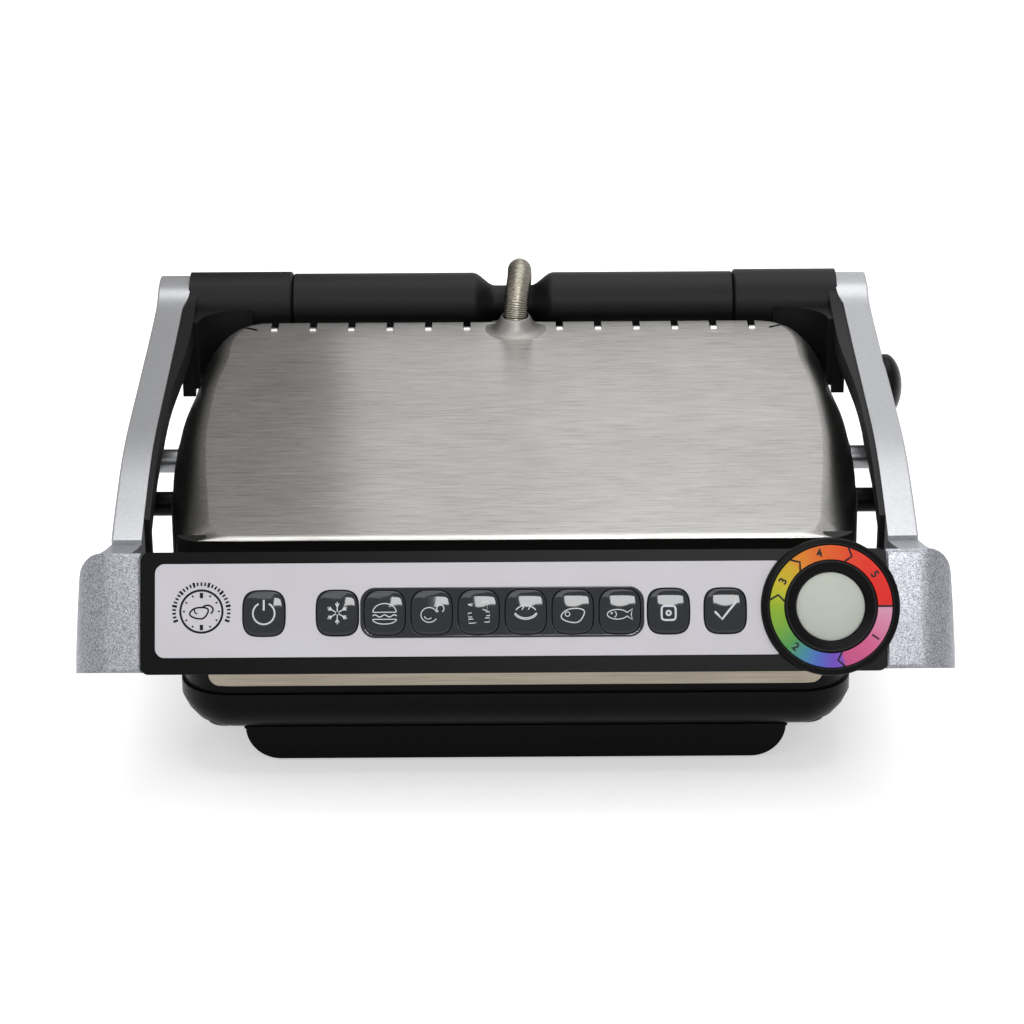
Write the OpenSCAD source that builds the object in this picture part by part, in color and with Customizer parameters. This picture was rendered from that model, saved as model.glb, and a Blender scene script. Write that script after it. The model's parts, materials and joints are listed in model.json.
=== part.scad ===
// Electric contact grill: a lower housing with a ribbed plate and a drip tray, and a steel-covered
// head that floats between two arms. The arms carry the handle with its control panel, and turn on
// a bar at the back. Front is -Y, and the origin is under the middle of the grill, on the table.

/* [Lower housing] */
// Width of the lower housing
base_w = 289; // [285:1:290]
// Depth of the lower housing, front to back
base_d = 236; // [232:1:238]
// Height of its underside over the table
base_z = 17.5; // [17:0.5:18.5]
// Height of the step that runs round it
step_z = 38; // [36:1:39]
// Angle at which the plates fall towards the front, so that fat runs off
plate_slope = 7; // [6:0.5:8]

/* [Head] */
// Width of the steel cover at its lower edge, where it is widest
cover_w = 311; // [308:1:312]
// Depth of the steel cover at its lower edge
cover_d = 228; // [225:1:229]
// Height of the cover's top over the plane where the plates meet
cover_h = 35; // [34:0.5:36]

/* [Arms and handle] */
// Width over the handle's two ends
handle_w = 368; // [366:1:370]
// Thickness of an arm
arm_t = 13; // [12:1:14]
// Distance from the middle to an arm's outer face at its front end
arm_x = 172; // [171:1:173]
// Angle by which the control panel leans back
panel_lean = 24; // [22:1:26]
// Height of the control panel, along its face
panel_h = 50.5; // [49:0.5:52]
// Radius of the round display's bezel
bezel_r = 28.5; // [28:0.5:29]

/* [Buttons] */
// Width of a button cap
button_w = 17.2; // [16.8:0.1:17.6]
// Height of a button cap
button_h = 18.6; // [18:0.1:19]
// Travel of a button
button_travel = 1; // [0.6:0.1:1.2]
// Distance between the programme buttons
button_pitch = 19.4; // [19:0.1:20]

/* [Hinge] */
// Distance of the hinge axis behind the middle
hinge_y = 130; // [129:1:131]
// Height of the hinge axis
hinge_z = 140; // [139:1:141]
// Radius of the hinge bar
bar_r = 15.2; // [15:0.1:15.8]
// Radius of the steel shaft in it
shaft_r = 5; // [4:0.5:5]

/* [Drip tray] */
// Width of the drip tray
tray_w = 236; // [232:1:237]
// Radius of its lower corners
tray_r = 15; // [12:1:16]

/* [Conduit] */
// Outer radius of the steel conduit
conduit_r = 6.1; // [5.8:0.1:6.2]
// Distance between its ribs
rib_pitch = 1.9; // [1.8:0.1:2.4]

/* [Hidden] */
$fn = 64;

eps = 0.01;
gap = 0.3;
black = "#222322";
silver = "#98999c";
steel = "#b9b9b7";

base_r = 22;
base_wall = 3;
base_lip = 1.5;
plates_y = -115;
plates_z = 76;
housing_top_w = -3;
leg_x = 131;
leg_ys = [-60, 100];
leg_r = 10;
foot_h = 3.2;

tower_w = 212;
tower_y0 = 114.5;
tower_y1 = 146;
tower_z0 = 5;
tower_z1 = 127;
tower_r = 6;
box_w = 224;
box_y0 = 62;

seam_x = 109.5;
neck_r = 8.8;
neck_half = 9;
shoulder_x = 20;

tray_front = -106;
tray_back = 56;
tray_z = 1.5;
tray_top = 16.8;
tray_wall = 2;

panel_y = -161;
panel_z = 66.1;
frame_x0 = -154.5;
frame_x1 = 153;
frame_t = 12;
frame_wall = 2.5;
face_t = 0.8;
face_x0 = -148.7;
face_x1 = 111;
face_v0 = 6.9;
face_v1 = 45.6;
face_r = 4;
ring_x = 130.1;
ring_v = 26.5;
bulge_r = bezel_r - 0.8;
fillet_r = 16;
lens_r = 14.1;
buttons_v = 25;
strip_x0 = -63.8;
strip_x1 = 53;
strip_h = 20.4;

power_x = -103.7;
frozen_x = -73.4;
programme_x0 = -53.9;
manual_x = 63.2;
confirm_x = 86.6;

liner_t = 2.5;
arm_wall = 3.5;
arm_turn = 1;
arm_front_y = -106;
pin_r = 5.5;
guide_pin = [10, 99.3];
stop_pin = [-33, 94];
float_travel = 10;
corner_x = 133;
corner_y = 92;
corner_r = 20.8;
web_in = 4.2;
web_out = 28.2;
web_y = 1;
web_d = 47;
web_z = 127;
web_top = 142;
cheek_z = 108;
cheek_t = 2.4;
cap_at = [43, 123.5];
cap_r = 15;
cap_h = 9;

cover_t = 1;
rim_w0 = 2;
rim_w1 = 13.6;
rim_front_w = 27.6;
head_corner_r = 19;
plate_w = 280;
plate_d = 204;
plate_u = 9;
rib_count = 24;

conduit_x = 3.4;
boss_x = 1.2;
boss_y = 95;
boss_z = 137.2;
boss_h = 9.4;
boss_r = 12.5;
boss_wall = 1.2;
boss_gap = 1.3;
boss_u = (boss_y - plates_y) * cos(plate_slope) + (boss_z - plates_z) * sin(plate_slope);
drop_y = 155.2;
socket_z = 117;

// ---- helpers

module rounded_rect(w, d, r) {
    square([w - 2 * r, d], center = true);
    square([w, d - 2 * r], center = true);
    for (sx = [-1, 1], sy = [-1, 1])
        translate([sx * (w / 2 - r), sy * (d / 2 - r)]) circle(r);
}

module slab(w, d, h, r) linear_extrude(h) rounded_rect(w, d, r);

// A box given by its lowest and highest corners
module block(low, high) translate(low) cube(high - low);

// A straight rod along X
module rod_x(r, x0, x1) translate([x0, 0, 0]) rotate([0, 90, 0]) cylinder(r = r, h = x1 - x0);

// A rounded rectangle whose sides swell a little, as moulded caps have
module squircle(w, h, power = 3.4) {
    points = 48;
    polygon([
        for (i = [0 : points - 1])
            let (a = 360 * i / points, c = cos(a), s = sin(a))
                [w / 2 * sign(c) * pow(abs(c), 2 / power), h / 2 * sign(s) * pow(abs(s), 2 / power)]
    ]);
}

// A closed smooth curve through its points
function on_curve(a, b, c, d, t) =
    0.5 * ((2 * b) + (c - a) * t + (2 * a - 5 * b + 4 * c - d) * t * t
        + (3 * b - a - 3 * c + d) * t * t * t);
function smooth_loop(p, steps = 6) = [
    for (i = [0 : len(p) - 1], k = [0 : steps - 1])
        let (n = len(p))
            on_curve(p[(i + n - 1) % n], p[i], p[(i + 1) % n], p[(i + 2) % n], k / steps)
];

// The sloping frame of the plates: X across, Y up the slope from the front, Z out of the plates
module on_slope() translate([0, plates_y, plates_z]) rotate([plate_slope, 0, 0]) children();

// The leaning frame of the control panel: X across, Y up its face, Z out towards the cook
module on_panel() translate([0, panel_y, panel_z]) rotate([90 - panel_lean, 0, 0]) children();

module at_hinge() translate([0, hinge_y, hinge_z]) children();

// ---- lower housing

module housing_layer(z, grow)
    translate([0, 0, z]) slab(base_w + 2 * grow, base_d + 2 * grow, 0.1, base_r + grow, $fn = 32);

module housing_solid() {
    hull() {
        housing_layer(base_z, -15);
        housing_layer(base_z + 1.2, -9);
        housing_layer(base_z + 4, -4.5);
        housing_layer(base_z + 8.5, -1);
        housing_layer(base_z + 14, base_lip);
        housing_layer(step_z - 0.1, base_lip);
    }
    translate([0, 0, step_z - eps]) slab(base_w, base_d, 80, base_r);
}

module housing_cavity() {
    translate([0, 0, base_z + base_wall]) slab(base_w - 36, base_d - 36, 9, base_r - 8);
    translate([0, 0, base_z + 11])
        slab(base_w - 2 * base_wall, base_d - 2 * base_wall, 100, base_r - base_wall);
}

module above_slope(w) on_slope() translate([-250, -60, w]) cube([500, 400, 200]);

module base_shell() color(black) {
    difference() {
        housing_solid();
        above_slope(housing_top_w);
        housing_cavity();
        // Fat runs through here into the tray
        block([-16, -106, base_z - 1], [16, -88, base_z + 5]);
        block([-70.3, -base_d / 2 - 1, 53.7], [-47.7, -base_d / 2 + 5, 63.3]);
        // The hinge tower stands in its back wall
        translate([0, (tower_y0 + tower_y1) / 2, 0])
            slab(tower_w + 2 * eps, tower_y1 - tower_y0 + 2 * eps, 150, tower_r + eps);
    }
}

// Rails along the tray's sides
module tray_rails() color(black) for (sx = [-1, 1])
    translate([sx * (tray_w / 2 + 1.6), -16, base_z - 11]) slab(2.6, 140, 11 - eps, 1);

// Posts between the feet and the curved underside
module legs() color(black) difference() {
    for (sx = [-1, 1], y = leg_ys)
        translate([sx * leg_x, y, foot_h - 0.2]) cylinder(r = leg_r, h = 22);
    translate([0, 0, -eps]) housing_solid();
}

// Bay for the electronics, under the back of the housing, with the hinge tower behind it
module rear_housing() color(black) {
    difference() {
        block([-box_w / 2, box_y0, tower_z0], [box_w / 2, tower_y0 + 4, base_z - eps]);
        block([-box_w / 2 + 2.5, box_y0 + 2.5, 4], [box_w / 2 - 2.5, tower_y0 - 1, base_z + 1]);
    }
    hinge_tower();
}

module hinge_tower() difference() {
    translate([0, (tower_y0 + tower_y1) / 2, tower_z0])
        slab(tower_w, tower_y1 - tower_y0, tower_z1 - tower_z0, tower_r);
    block([-tower_w / 2 + 3, base_d / 2, tower_z0 + 3], [tower_w / 2 - 3, tower_y1 - 3, tower_z1 - 3]);
    // The back of the housing's inside stays open
    block([-tower_w / 2 + 10, tower_y0 - 1, 32], [tower_w / 2 - 10, base_d / 2 + 1, 60]);
    // Cord hole
    translate([70, tower_y1 - 5, 40]) rotate([-90, 0, 0]) cylinder(r = 9.02, h = 10);
    // Seat of the bar
    at_hinge() rod_x(bar_r + 0.02, -seam_x, seam_x);
}

module bottom_cover() color("#1c1d1d") difference() {
    translate([0, (box_y0 + tower_y0 + 4) / 2, 3.4]) slab(box_w - 1, tower_y0 + 4 - box_y0 - 1, 1.6, 3);
    for (x = [-90, -60, 60, 90], k = [0 : 6])
        translate([x, box_y0 + 12 + 5 * k, 3]) cube([18, 2, 5], center = true);
}

module front_trim() color("#827b70") difference() {
    intersection() {
        translate([0, 0, 42]) slab(base_w + 2, base_d + 2, 9, base_r + 1);
        translate([0, -base_d / 2 - 5, 46.5]) rotate([-90, 0, 0]) slab(264, 9, 40, 4.4);
    }
    translate([0, 0, 39]) slab(base_w + 0.04, base_d + 0.04, 12, base_r + 0.02);
}

module feet() color("#161616") for (sx = [-1, 1], y = leg_ys)
    translate([sx * leg_x, y, 0]) cylinder(r = leg_r - 1, h = foot_h - 0.22);

module base_screws() color("#8a8d90") for (x = [-100, 100], y = [70, 106])
    translate([x, y, 1.4]) difference() {
        union() {
            cylinder(r = 3.4, h = 1.98);
            cylinder(r = 1.5, h = 1.98);
        }
        cylinder(r = 1.6, h = 2.4, center = true, $fn = 6);
    }

module power_board() color("#2f6b3c") {
    block([-86, 68, 12], [86, 104, 13.6]);
    block([-70, 74, 13.6], [-44, 98, 17.2]);
    translate([-20, 86, 13.6]) cylinder(r = 6, h = 3.6);
    translate([0, 86, 13.6]) cylinder(r = 6, h = 3.6);
    block([20, 76, 13.6], [46, 96, 17]);
}

module lower_release_button() color("#2c2d2e") {
    block([-70, -base_d / 2 - 2.2, 54], [-48, -base_d / 2 + 6, 63]);
    block([-73, -base_d / 2 + 4, 52], [-45, -base_d / 2 + 6, 65]);
}

// ---- plates and what heats them, drawn for the lower side

module cooking_plate(depth = 5) {
    translate([0, plate_u + plate_d / 2, -12]) slab(plate_w, plate_d, 5, 14);
    // Raised edge
    difference() {
        translate([0, plate_u + plate_d / 2, -7 - eps]) slab(plate_w, plate_d, 5.6, 14);
        translate([0, plate_u + plate_d / 2, -8]) slab(plate_w - 7, plate_d - 7, 9, 11);
    }
    pitch = (plate_w - 32) / (rib_count - 1);
    for (i = [0 : rib_count - 1])
        translate([-(plate_w - 32) / 2 + i * pitch, plate_u + plate_d / 2, -7 - eps])
            slab(3.6, plate_d - 34, depth, 1.7);
}

module lower_plate() color("#2a2a2b") on_slope() difference() {
    union() {
        cooking_plate();
        translate([0, plate_u + 6, -34]) slab(28, 9, 23, 3);
    }
    translate([0, plate_u + 6, -40]) slab(24, 5, 50, 2);
}

// A bent sheathed element with four runs across the plate
module heating_tube(w) {
    run = 110;
    step = 42;
    for (i = [0 : 3])
        translate([0, 48 + i * step, w]) rod_x(3.2, -run, run);
    for (i = [0 : 2])
        translate([(i % 2 == 0 ? 1 : -1) * run, 48 + (i + 0.5) * step, w])
            rotate([0, 0, i % 2 == 0 ? -90 : 90])
                rotate_extrude(angle = 180) translate([step / 2, 0]) circle(3.2);
}

module heat_pan(w) {
    difference() {
        translate([0, plate_u + plate_d / 2, w]) slab(plate_w - 14, plate_d - 34, 5, 10);
        translate([0, plate_u + plate_d / 2, w + 0.8]) slab(plate_w - 16, plate_d - 36, 5, 9);
    }
}

module lower_element() color("#77736c") on_slope() heating_tube(-16);

module lower_reflector() color("#a9abac") on_slope() heat_pan(-27);

module thermostat() {
    cylinder(r = 7, h = 5);
    translate([0, 0, -1.5]) cylinder(r = 9, h = 1.6);
    for (sx = [-1, 1]) translate([sx * 3, 0, -5]) cylinder(r = 1, h = 4);
}

module lower_thermostat() color("#c9c4b5") on_slope() translate([0, 111, -18]) thermostat();

// ---- drip tray

// A trough: the lower half of a rounded rectangle
module tray_section(shrink) {
    w = tray_w - 2 * shrink;
    h = tray_top - tray_z - shrink;
    intersection() {
        translate([0, shrink + h]) rounded_rect(w, 2 * h, tray_r - shrink);
        translate([-w / 2, shrink]) square([w, h]);
    }
}

module along_tray(shrink, y0, y1)
    translate([0, y1, tray_z]) rotate([90, 0, 0]) linear_extrude(y1 - y0) tray_section(shrink);

module drip_tray() color("#101111") difference() {
    along_tray(0, tray_front, tray_back);
    translate([0, 0, 0.5]) along_tray(tray_wall, tray_front + 3, tray_back - 2.5);
    block([-tray_w / 2 + tray_wall, tray_front + 3, tray_top - 1],
        [tray_w / 2 - tray_wall, tray_back - 2.5, tray_top + 1]);
}

// ---- hinge

// Radius of the bar along its length: full, then a smooth shoulder down to the neck
function bar_radius(x) =
    let (t = min(1, max(0, (abs(x) - neck_half) / (shoulder_x - neck_half))))
        neck_r + (bar_r - neck_r) * (3 * t * t - 2 * t * t * t);

module hinge_bar() color(black) difference() {
    union() {
        at_hinge() rotate([0, 90, 0]) rotate_extrude() polygon(concat(
            [[0, -seam_x], [bar_r - 0.8, -seam_x], [bar_r, -seam_x + 0.8]],
            [for (x = [-shoulder_x : 2 : shoulder_x]) [bar_radius(x), x]],
            [[bar_r, seam_x - 0.8], [bar_r - 0.8, seam_x], [0, seam_x]]));
        for (sx = [-1, 1])
            translate([sx * 64, hinge_y - 1, tower_z1 + 0.01]) slab(82, 27, 14, 5);
    }
    at_hinge() rod_x(shaft_r + 0.02, -seam_x - 1, seam_x + 1);
}

module hinge_shaft() color("#9a9da0") at_hinge() rod_x(shaft_r, -154, 154);

module hinge_bushes() color("#d8d4c8") at_hinge() for (sx = [-1, 1])
    difference() {
        rod_x(8, sx > 0 ? seam_x + 2 : -150, sx > 0 ? 150 : -seam_x - 2);
        rod_x(shaft_r + 0.06, sx > 0 ? seam_x : -152, sx > 0 ? 152 : -seam_x);
    }

module cord_gland() color("#1a1a1a") translate([70, tower_y1 - 6, 40]) rotate([-90, 0, 0])
    difference() {
        union() {
            cylinder(r = 9, h = 16);
            cylinder(r = 11, h = 2.8);
            translate([0, 0, 6.05]) cylinder(r = 11.5, h = 2.5);
        }
        translate([0, 0, -1]) cylinder(r = 3.6, h = 18);
    }

// ---- conduit between head and tower

// Middle line of the conduit: out of the head, over the neck and down behind it
conduit_route = [
    [boss_x, boss_y, boss_z - 12], [boss_x, boss_y, boss_z - 3], [boss_x, boss_y, boss_z + 7],
    [boss_x + 0.6, boss_y + 2.2, boss_z + 13.4], [boss_x + 1.3, boss_y + 8.5, boss_z + 17.8],
    [conduit_x - 0.2, boss_y + 20, boss_z + 19.4], [conduit_x, hinge_y - 3, boss_z + 19.2],
    [conduit_x, hinge_y + 10, boss_z + 16.6], [conduit_x, hinge_y + 19, boss_z + 10.4],
    [conduit_x, drop_y - 1.2, boss_z + 1], [conduit_x, drop_y, boss_z - 9],
    [conduit_x, drop_y, socket_z + 1], [conduit_x, drop_y, socket_z - 6]
];

function route_at(s) =
    let (n = len(conduit_route), i = min(n - 2, floor(s)), t = s - i,
        a = conduit_route[max(0, i - 1)], d = conduit_route[min(n - 1, i + 2)])
        on_curve(a, conduit_route[i], conduit_route[i + 1], d, t);
function route_dir(s) =
    let (e = 0.02, v = route_at(min(s + e, len(conduit_route) - 1.001)) - route_at(max(0, s - e)))
        v / norm(v);
function route_length(steps = 240) =
    let (top = len(conduit_route) - 1.001)
        [for (k = 0, sum = 0; k <= steps;
            k = k + 1,
            sum = sum + norm(route_at(top * min(k, steps) / steps) - route_at(top * (k - 1) / steps)))
            sum][steps];

conduit_len = route_length();
conduit_ribs = floor(conduit_len / rib_pitch);
conduit_bore = 4.6;
sides = 8;

function ring_points(s, r) =
    let (d = route_dir(s), b = cross(d, [1, 0, 0]), bn = b / norm(b), an = cross(bn, d))
        [for (k = [0 : sides - 1])
            let (turn = (k + 0.5) * 360 / sides)
                route_at(s) + r / cos(180 / sides) * (cos(turn) * an + sin(turn) * bn)];

// Rings along the outside, crest and root by turns, and back along the bore
conduit_top = len(conduit_route) - 1.001;
conduit_rings = concat(
    [for (i = [0 : 2 * conduit_ribs])
        ring_points(conduit_top * i / (2 * conduit_ribs), i % 2 == 0 ? conduit_r - 0.55 : conduit_r - 0.12)],
    [for (i = [16 : -1 : 0]) ring_points(conduit_top * i / 16, conduit_bore)]);

module conduit() color("#b0a996") {
    n = len(conduit_rings);
    polyhedron(
        points = [for (ring = conduit_rings) for (p = ring) p],
        faces = [
            for (i = [0 : n - 1], k = [0 : sides - 1], half = [0, 1])
                let (a = i * sides + k, b = i * sides + (k + 1) % sides,
                    c = ((i + 1) % n) * sides + (k + 1) % sides, d = ((i + 1) % n) * sides + k)
                    half == 0 ? [a, c, b] : [a, d, c]
        ]);
}
echo(least_gap_of_the_conduit_to_itself = min([
    for (i = [0 : 4 : 60], j = [i + 24 : 4 : 96])
        norm(route_at(conduit_top * i / 96) - route_at(conduit_top * j / 96)) - 2 * conduit_r]));

module conduit_socket() color("#1d1e1e") difference() {
    union() {
        translate([conduit_x, drop_y, socket_z - 20]) cylinder(r = 8.6, h = 20);
        block([conduit_x - 7, tower_y1 + 0.01, socket_z - 18], [conduit_x + 7, drop_y, socket_z - 2]);
    }
    translate([conduit_x, drop_y, socket_z - 14]) cylinder(r = conduit_r + 0.5, h = 20);
}

// Cone pressed up from the cover round the conduit
module conduit_boss() color("#a19e9a") on_slope() difference() {
    translate([boss_x, boss_u, cover_h + 0.01])
        cylinder(r1 = boss_r, r2 = conduit_r + boss_gap + boss_wall, h = boss_h);
    translate([boss_x, boss_u, cover_h - 1]) rotate([-plate_slope, 0, 0])
        cylinder(r = conduit_r + boss_gap, h = 20);
}

// ---- arms and handle

// Side view of an arm, from the bar's end forward along the top and back underneath
arm_outline = smooth_loop([
    [147, 139], [144, 148], [135, 153.6], [121, 152], [106, 145.8], [62, 139.5], [3, 133], [-46, 126.5],
    [-82, 115], [-112, 101], [-117, 90], [-112, 78], [-60, 76], [-20, 81], [20, 87], [62, 94], [104, 112],
    [135, 124]
]);

// Draws in the side view, for the arm on one side: X to the back, Y up, Z outwards from its inner face
module on_arm(side)
    translate([side * (arm_x - arm_t), arm_front_y, 0]) rotate([0, 0, -side * arm_turn])
        translate([0, -arm_front_y, 0]) rotate([90, 0, 90]) scale_side(side) children();

module scale_side(side) if (side > 0) children(); else mirror([0, 0, 1]) children();

module arm(side) color(silver) difference() {
    on_arm(side) linear_extrude(arm_t) polygon(arm_outline);
    // Hollow under its top, open to the inside
    on_arm(side) translate([0, 0, -1]) linear_extrude(arm_t + 1 - arm_wall) intersection() {
        translate([0, -arm_wall]) polygon(arm_outline);
        translate([-94, 0]) square([200, 200]);
    }
    // The end block takes over here
    block([side * 180 - 40, -200, 0], [side * 180 + 40, arm_front_y, 200]);
}

module slot(p, wide, low, high) {
    translate([p[0], p[1] - low]) circle(wide);
    translate([p[0], p[1] + high]) circle(wide);
    translate([p[0] - wide, p[1] - low]) square([2 * wide, low + high]);
}

module arm_liner(side) color("#1f2020") difference() {
    union() {
        // Plate inside the arm's outer wall, with the slots that guide the head's pins
        on_arm(side) translate([0, 0, arm_t - arm_wall - liner_t - eps])
            linear_extrude(liner_t) difference() {
            intersection() {
                translate([0, -arm_wall - 0.2]) polygon(arm_outline);
                translate([-93.8, 0]) square([199.6, 200]);
            }
            slot(guide_pin, pin_r + gap, 0, float_travel);
            slot(stop_pin, pin_r + gap, 0, float_travel);
        }
        // Strip along the top edge, inside
        on_arm(side) translate([0, 0, -liner_t]) linear_extrude(liner_t - 0.01) difference() {
            intersection() {
                translate([0, -1]) polygon(arm_outline);
                translate([-93.8, 0]) square([260, 200]);
            }
            translate([0, -11]) intersection() {
                polygon(arm_outline);
                translate([-140, 0]) square([230, 200]);
            }
        }
        // Foot at the front that joins the two
        on_arm(side) translate([-93.8, 80, -liner_t]) cube([6, 24, arm_t - arm_wall]);
        at_hinge() rotate([0, side * 90, 0]) rotate_extrude() polygon([
            [0, seam_x + gap], [bar_r + 0.2, seam_x + gap], [bar_r + 1, seam_x + gap + 0.8],
            [bar_r + 1, 158.6], [0, 158.6]]);
        arm_gusset(side);
    }
    at_hinge() rod_x(8.01, side > 0 ? seam_x - 1 : -150.02, side > 0 ? 150.02 : -seam_x + 1);
    at_hinge() rod_x(shaft_r + 0.5, side > 0 ? seam_x - 1 : -156, side > 0 ? 156 : -seam_x + 1);
}

// Concave web that carries the bar's end round into the liner, and under it a cheek. Both follow the
// head's rear corner.
module arm_gusset(side) translate([side * corner_x, corner_y, 0]) {
    translate([0, 0, web_z]) linear_extrude(web_top - web_z) difference() {
        translate([side > 0 ? -web_in : -web_out, web_y]) square([web_in + web_out, web_d]);
        circle(corner_r);
    }
    translate([0, 0, cheek_z]) linear_extrude(web_top - cheek_z) intersection() {
        difference() {
            circle(corner_r + cheek_t);
            circle(corner_r);
        }
        translate([side > 0 ? 0 : -40, 0]) square(40);
    }
}

module side_cap() color("#141516") on_arm(1) translate([cap_at[0], cap_at[1], arm_t + 0.01]) rotate_extrude()
    polygon(concat([[0, 0], [cap_r, 0]],
        [for (a = [0 : 10 : 90]) [cap_r * cos(a) * (1 - 0.1 * sin(a)), 2 + (cap_h - 2) * sin(a)]]));

// Side view of an end block's front part, which the panel's plane cuts off and which falls away behind
wing_side = [
    [-158.9, 66.2], [-159.9, 67.3], [-159.9, 68.5], [-141.4, 110.4], [-139.8, 111.6], [-137.6, 110.9],
    [-112, 97], [-112, 78], [-124, 67], [-141, 58.8], [-143.5, 59.3]
];

// Side view of the stub that carries on the arm's line
stub_side = [
    [-141, 108], [-139.6, 111.4], [-137.6, 111], [-122, 106.5], [arm_front_y, 102.5], [arm_front_y, 77],
    [-125, 71]
];

// The front part in the panel's frame, out from the frame's end: looking down its face, and looking at it
function wing_plan(inner) = concat(
    [[inner + 0.4, -60], [inner + 0.4, -0.6], [inner + 1.4, 0.1]],
    [for (a = [84 : -12 : 0]) [handle_w / 2 - 19 + 19 * cos(a), -18.8 + 19 * sin(a)]],
    [[handle_w / 2 - 1, -30], [handle_w / 2 - 8, -60]]);
wing_front = concat(
    [[140, -20], [handle_w / 2, -20], [handle_w / 2, 3]],
    [for (a = [0 : 15 : 90]) [handle_w / 2 - 14.4 + 12 * cos(a), 40.4 + 10.4 * sin(a)]],
    [[140, 50.8]]);

module end_block(side) color(silver) difference() {
    union() {
        intersection() {
            rotate([90, 0, 90]) linear_extrude(400, center = true) polygon(wing_side);
            mirror([side > 0 ? 0 : 1, 0, 0]) on_panel() intersection() {
                rotate([90, 0, 0]) linear_extrude(160, center = true)
                    polygon(wing_plan(side > 0 ? frame_x1 : -frame_x0));
                linear_extrude(160, center = true) polygon(wing_front);
            }
        }
        translate([side * (arm_x - arm_t / 2), 0, 0]) rotate([90, 0, 90])
            linear_extrude(arm_t, center = true) polygon(stub_side);
    }
    if (side > 0) on_panel() translate([ring_x, ring_v, -30]) cylinder(r = bezel_r + gap, h = 60);
}

// Outline of the panel's black frame, with its round bulge about the display
module frame_outline(shrink = 0) {
    x0 = frame_x0 + shrink;
    x1 = frame_x1;
    h = panel_h - 2 * shrink;
    translate([(x0 + x1) / 2, panel_h / 2]) rounded_rect(x1 - x0, h, 3);
    translate([ring_x, ring_v]) circle(bulge_r - shrink);
    // Fillets, where the bulge leaves the top edge
    rise = panel_h + fillet_r - ring_v;
    across = sqrt(pow(bulge_r + fillet_r, 2) - rise * rise);
    touch_v = panel_h + fillet_r - (fillet_r + shrink) * rise / (bulge_r + fillet_r);
    for (sx = [-1, 1]) difference() {
        translate([ring_x + (sx > 0 ? 0 : -across), panel_h - shrink - 1])
            square([across, touch_v - panel_h + shrink + 1]);
        translate([ring_x + sx * across, panel_h + fillet_r]) circle(fillet_r + shrink);
    }
}

module button_hole(x, extra = gap)
    translate([x, buttons_v]) squircle(button_w + 2 * extra, button_h + 2 * extra);

module strip_window(grow = 0) translate([(strip_x0 + strip_x1) / 2, buttons_v])
    rounded_rect(strip_x1 - strip_x0 + 2 * grow, strip_h + 2 * grow, 6);

function programme_x(i) = programme_x0 + (i - 1) * button_pitch;
single_buttons = [power_x, frozen_x, manual_x, confirm_x];
button_xs = concat(single_buttons, [for (i = [1 : 6]) programme_x(i)]);

module handle_frame() color("#1b1c1d") on_panel() difference() {
    translate([0, 0, -frame_t]) linear_extrude(frame_t) frame_outline();
    translate([0, 0, -frame_t - 1]) linear_extrude(frame_t + 1 - frame_wall) frame_outline(frame_wall);
    for (x = button_xs) translate([0, 0, -5]) linear_extrude(8) button_hole(x);
    translate([ring_x, ring_v, -5]) cylinder(r = 10, h = 10);
}

module handle_back() color("#1b1c1d") on_panel() translate([0, 0, -frame_t - 3.01]) linear_extrude(3)
    frame_outline(0.6);

module handle_screws() color("#85888b") on_panel() for (x = [-130, -45, 45, 110])
    translate([x, panel_h / 2, -frame_t - 4.02]) cylinder(r = 3, h = 1);

module faceplate() color("#c4c5ca") on_panel() translate([0, 0, 0.01]) linear_extrude(face_t) difference() {
    translate([(face_x0 + face_x1) / 2, (face_v0 + face_v1) / 2])
        rounded_rect(face_x1 - face_x0, face_v1 - face_v0, face_r);
    translate([ring_x, ring_v]) circle(bezel_r + gap);
    for (x = single_buttons) button_hole(x, gap + 0.1);
    strip_window();
}

module ring_bezel() color("#0e0f10") on_panel() translate([ring_x, ring_v, eps]) rotate_extrude() polygon([
    [14.6, 0], [bezel_r, 0], [bezel_r, 1.6], [bezel_r - 0.8, 2.6], [25.8, 3.1], [25.4, 2.2], [19.2, 2.2],
    [18.9, 3.1], [18, 3.1], [14.6, 1.4]]);

module colour_ring() color("#b8b04a") on_panel() translate([ring_x, ring_v, 2.22]) rotate_extrude()
    polygon([[19.3, 0], [25.3, 0], [25.2, 0.9], [19.4, 0.9]]);

module ring_lens() color("#bcc1b6") on_panel() translate([ring_x, ring_v, 2 * eps]) rotate_extrude()
    polygon(concat(
        [[0, 0], [lens_r, 0], [lens_r, 1.2]],
        [for (a = [15 : 15 : 90]) [lens_r * cos(a), 1.2 + 2 * sin(a)]]));

module control_board() color("#27613a") on_panel() {
    translate([-118, 8, -9.6]) cube([230, 34, 1.4]);
    translate([ring_x, ring_v, -9.6]) cylinder(r = 20, h = 1.4);
    for (a = [0 : 30 : 330])
        translate([ring_x, ring_v, -8.2]) rotate([0, 0, a]) translate([12, -1, 0]) cube([2.4, 2, 1]);
}

module keypad_membrane() color("#8e9296") on_panel() {
    translate([-114, 11, -8.2 + 0.01]) cube([214, 28, 0.8]);
    for (x = button_xs) translate([x, buttons_v, -7.4]) cylinder(r1 = 3.2, r2 = 2.4, h = 1.1);
}

module button(x) color("#1e252c") on_panel() {
    translate([x, buttons_v, -2.4]) linear_extrude(3.6) squircle(button_w, button_h);
    translate([x, buttons_v, 1.2 - eps]) linear_extrude(0.5) squircle(button_w - 1.4, button_h - 1.4);
    translate([x, buttons_v, 1.7 - 2 * eps]) linear_extrude(0.3) squircle(button_w - 4, button_h - 4);
    translate([x, buttons_v, -5 + 0.05]) cylinder(r = 2.6, h = 3);
}

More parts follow.
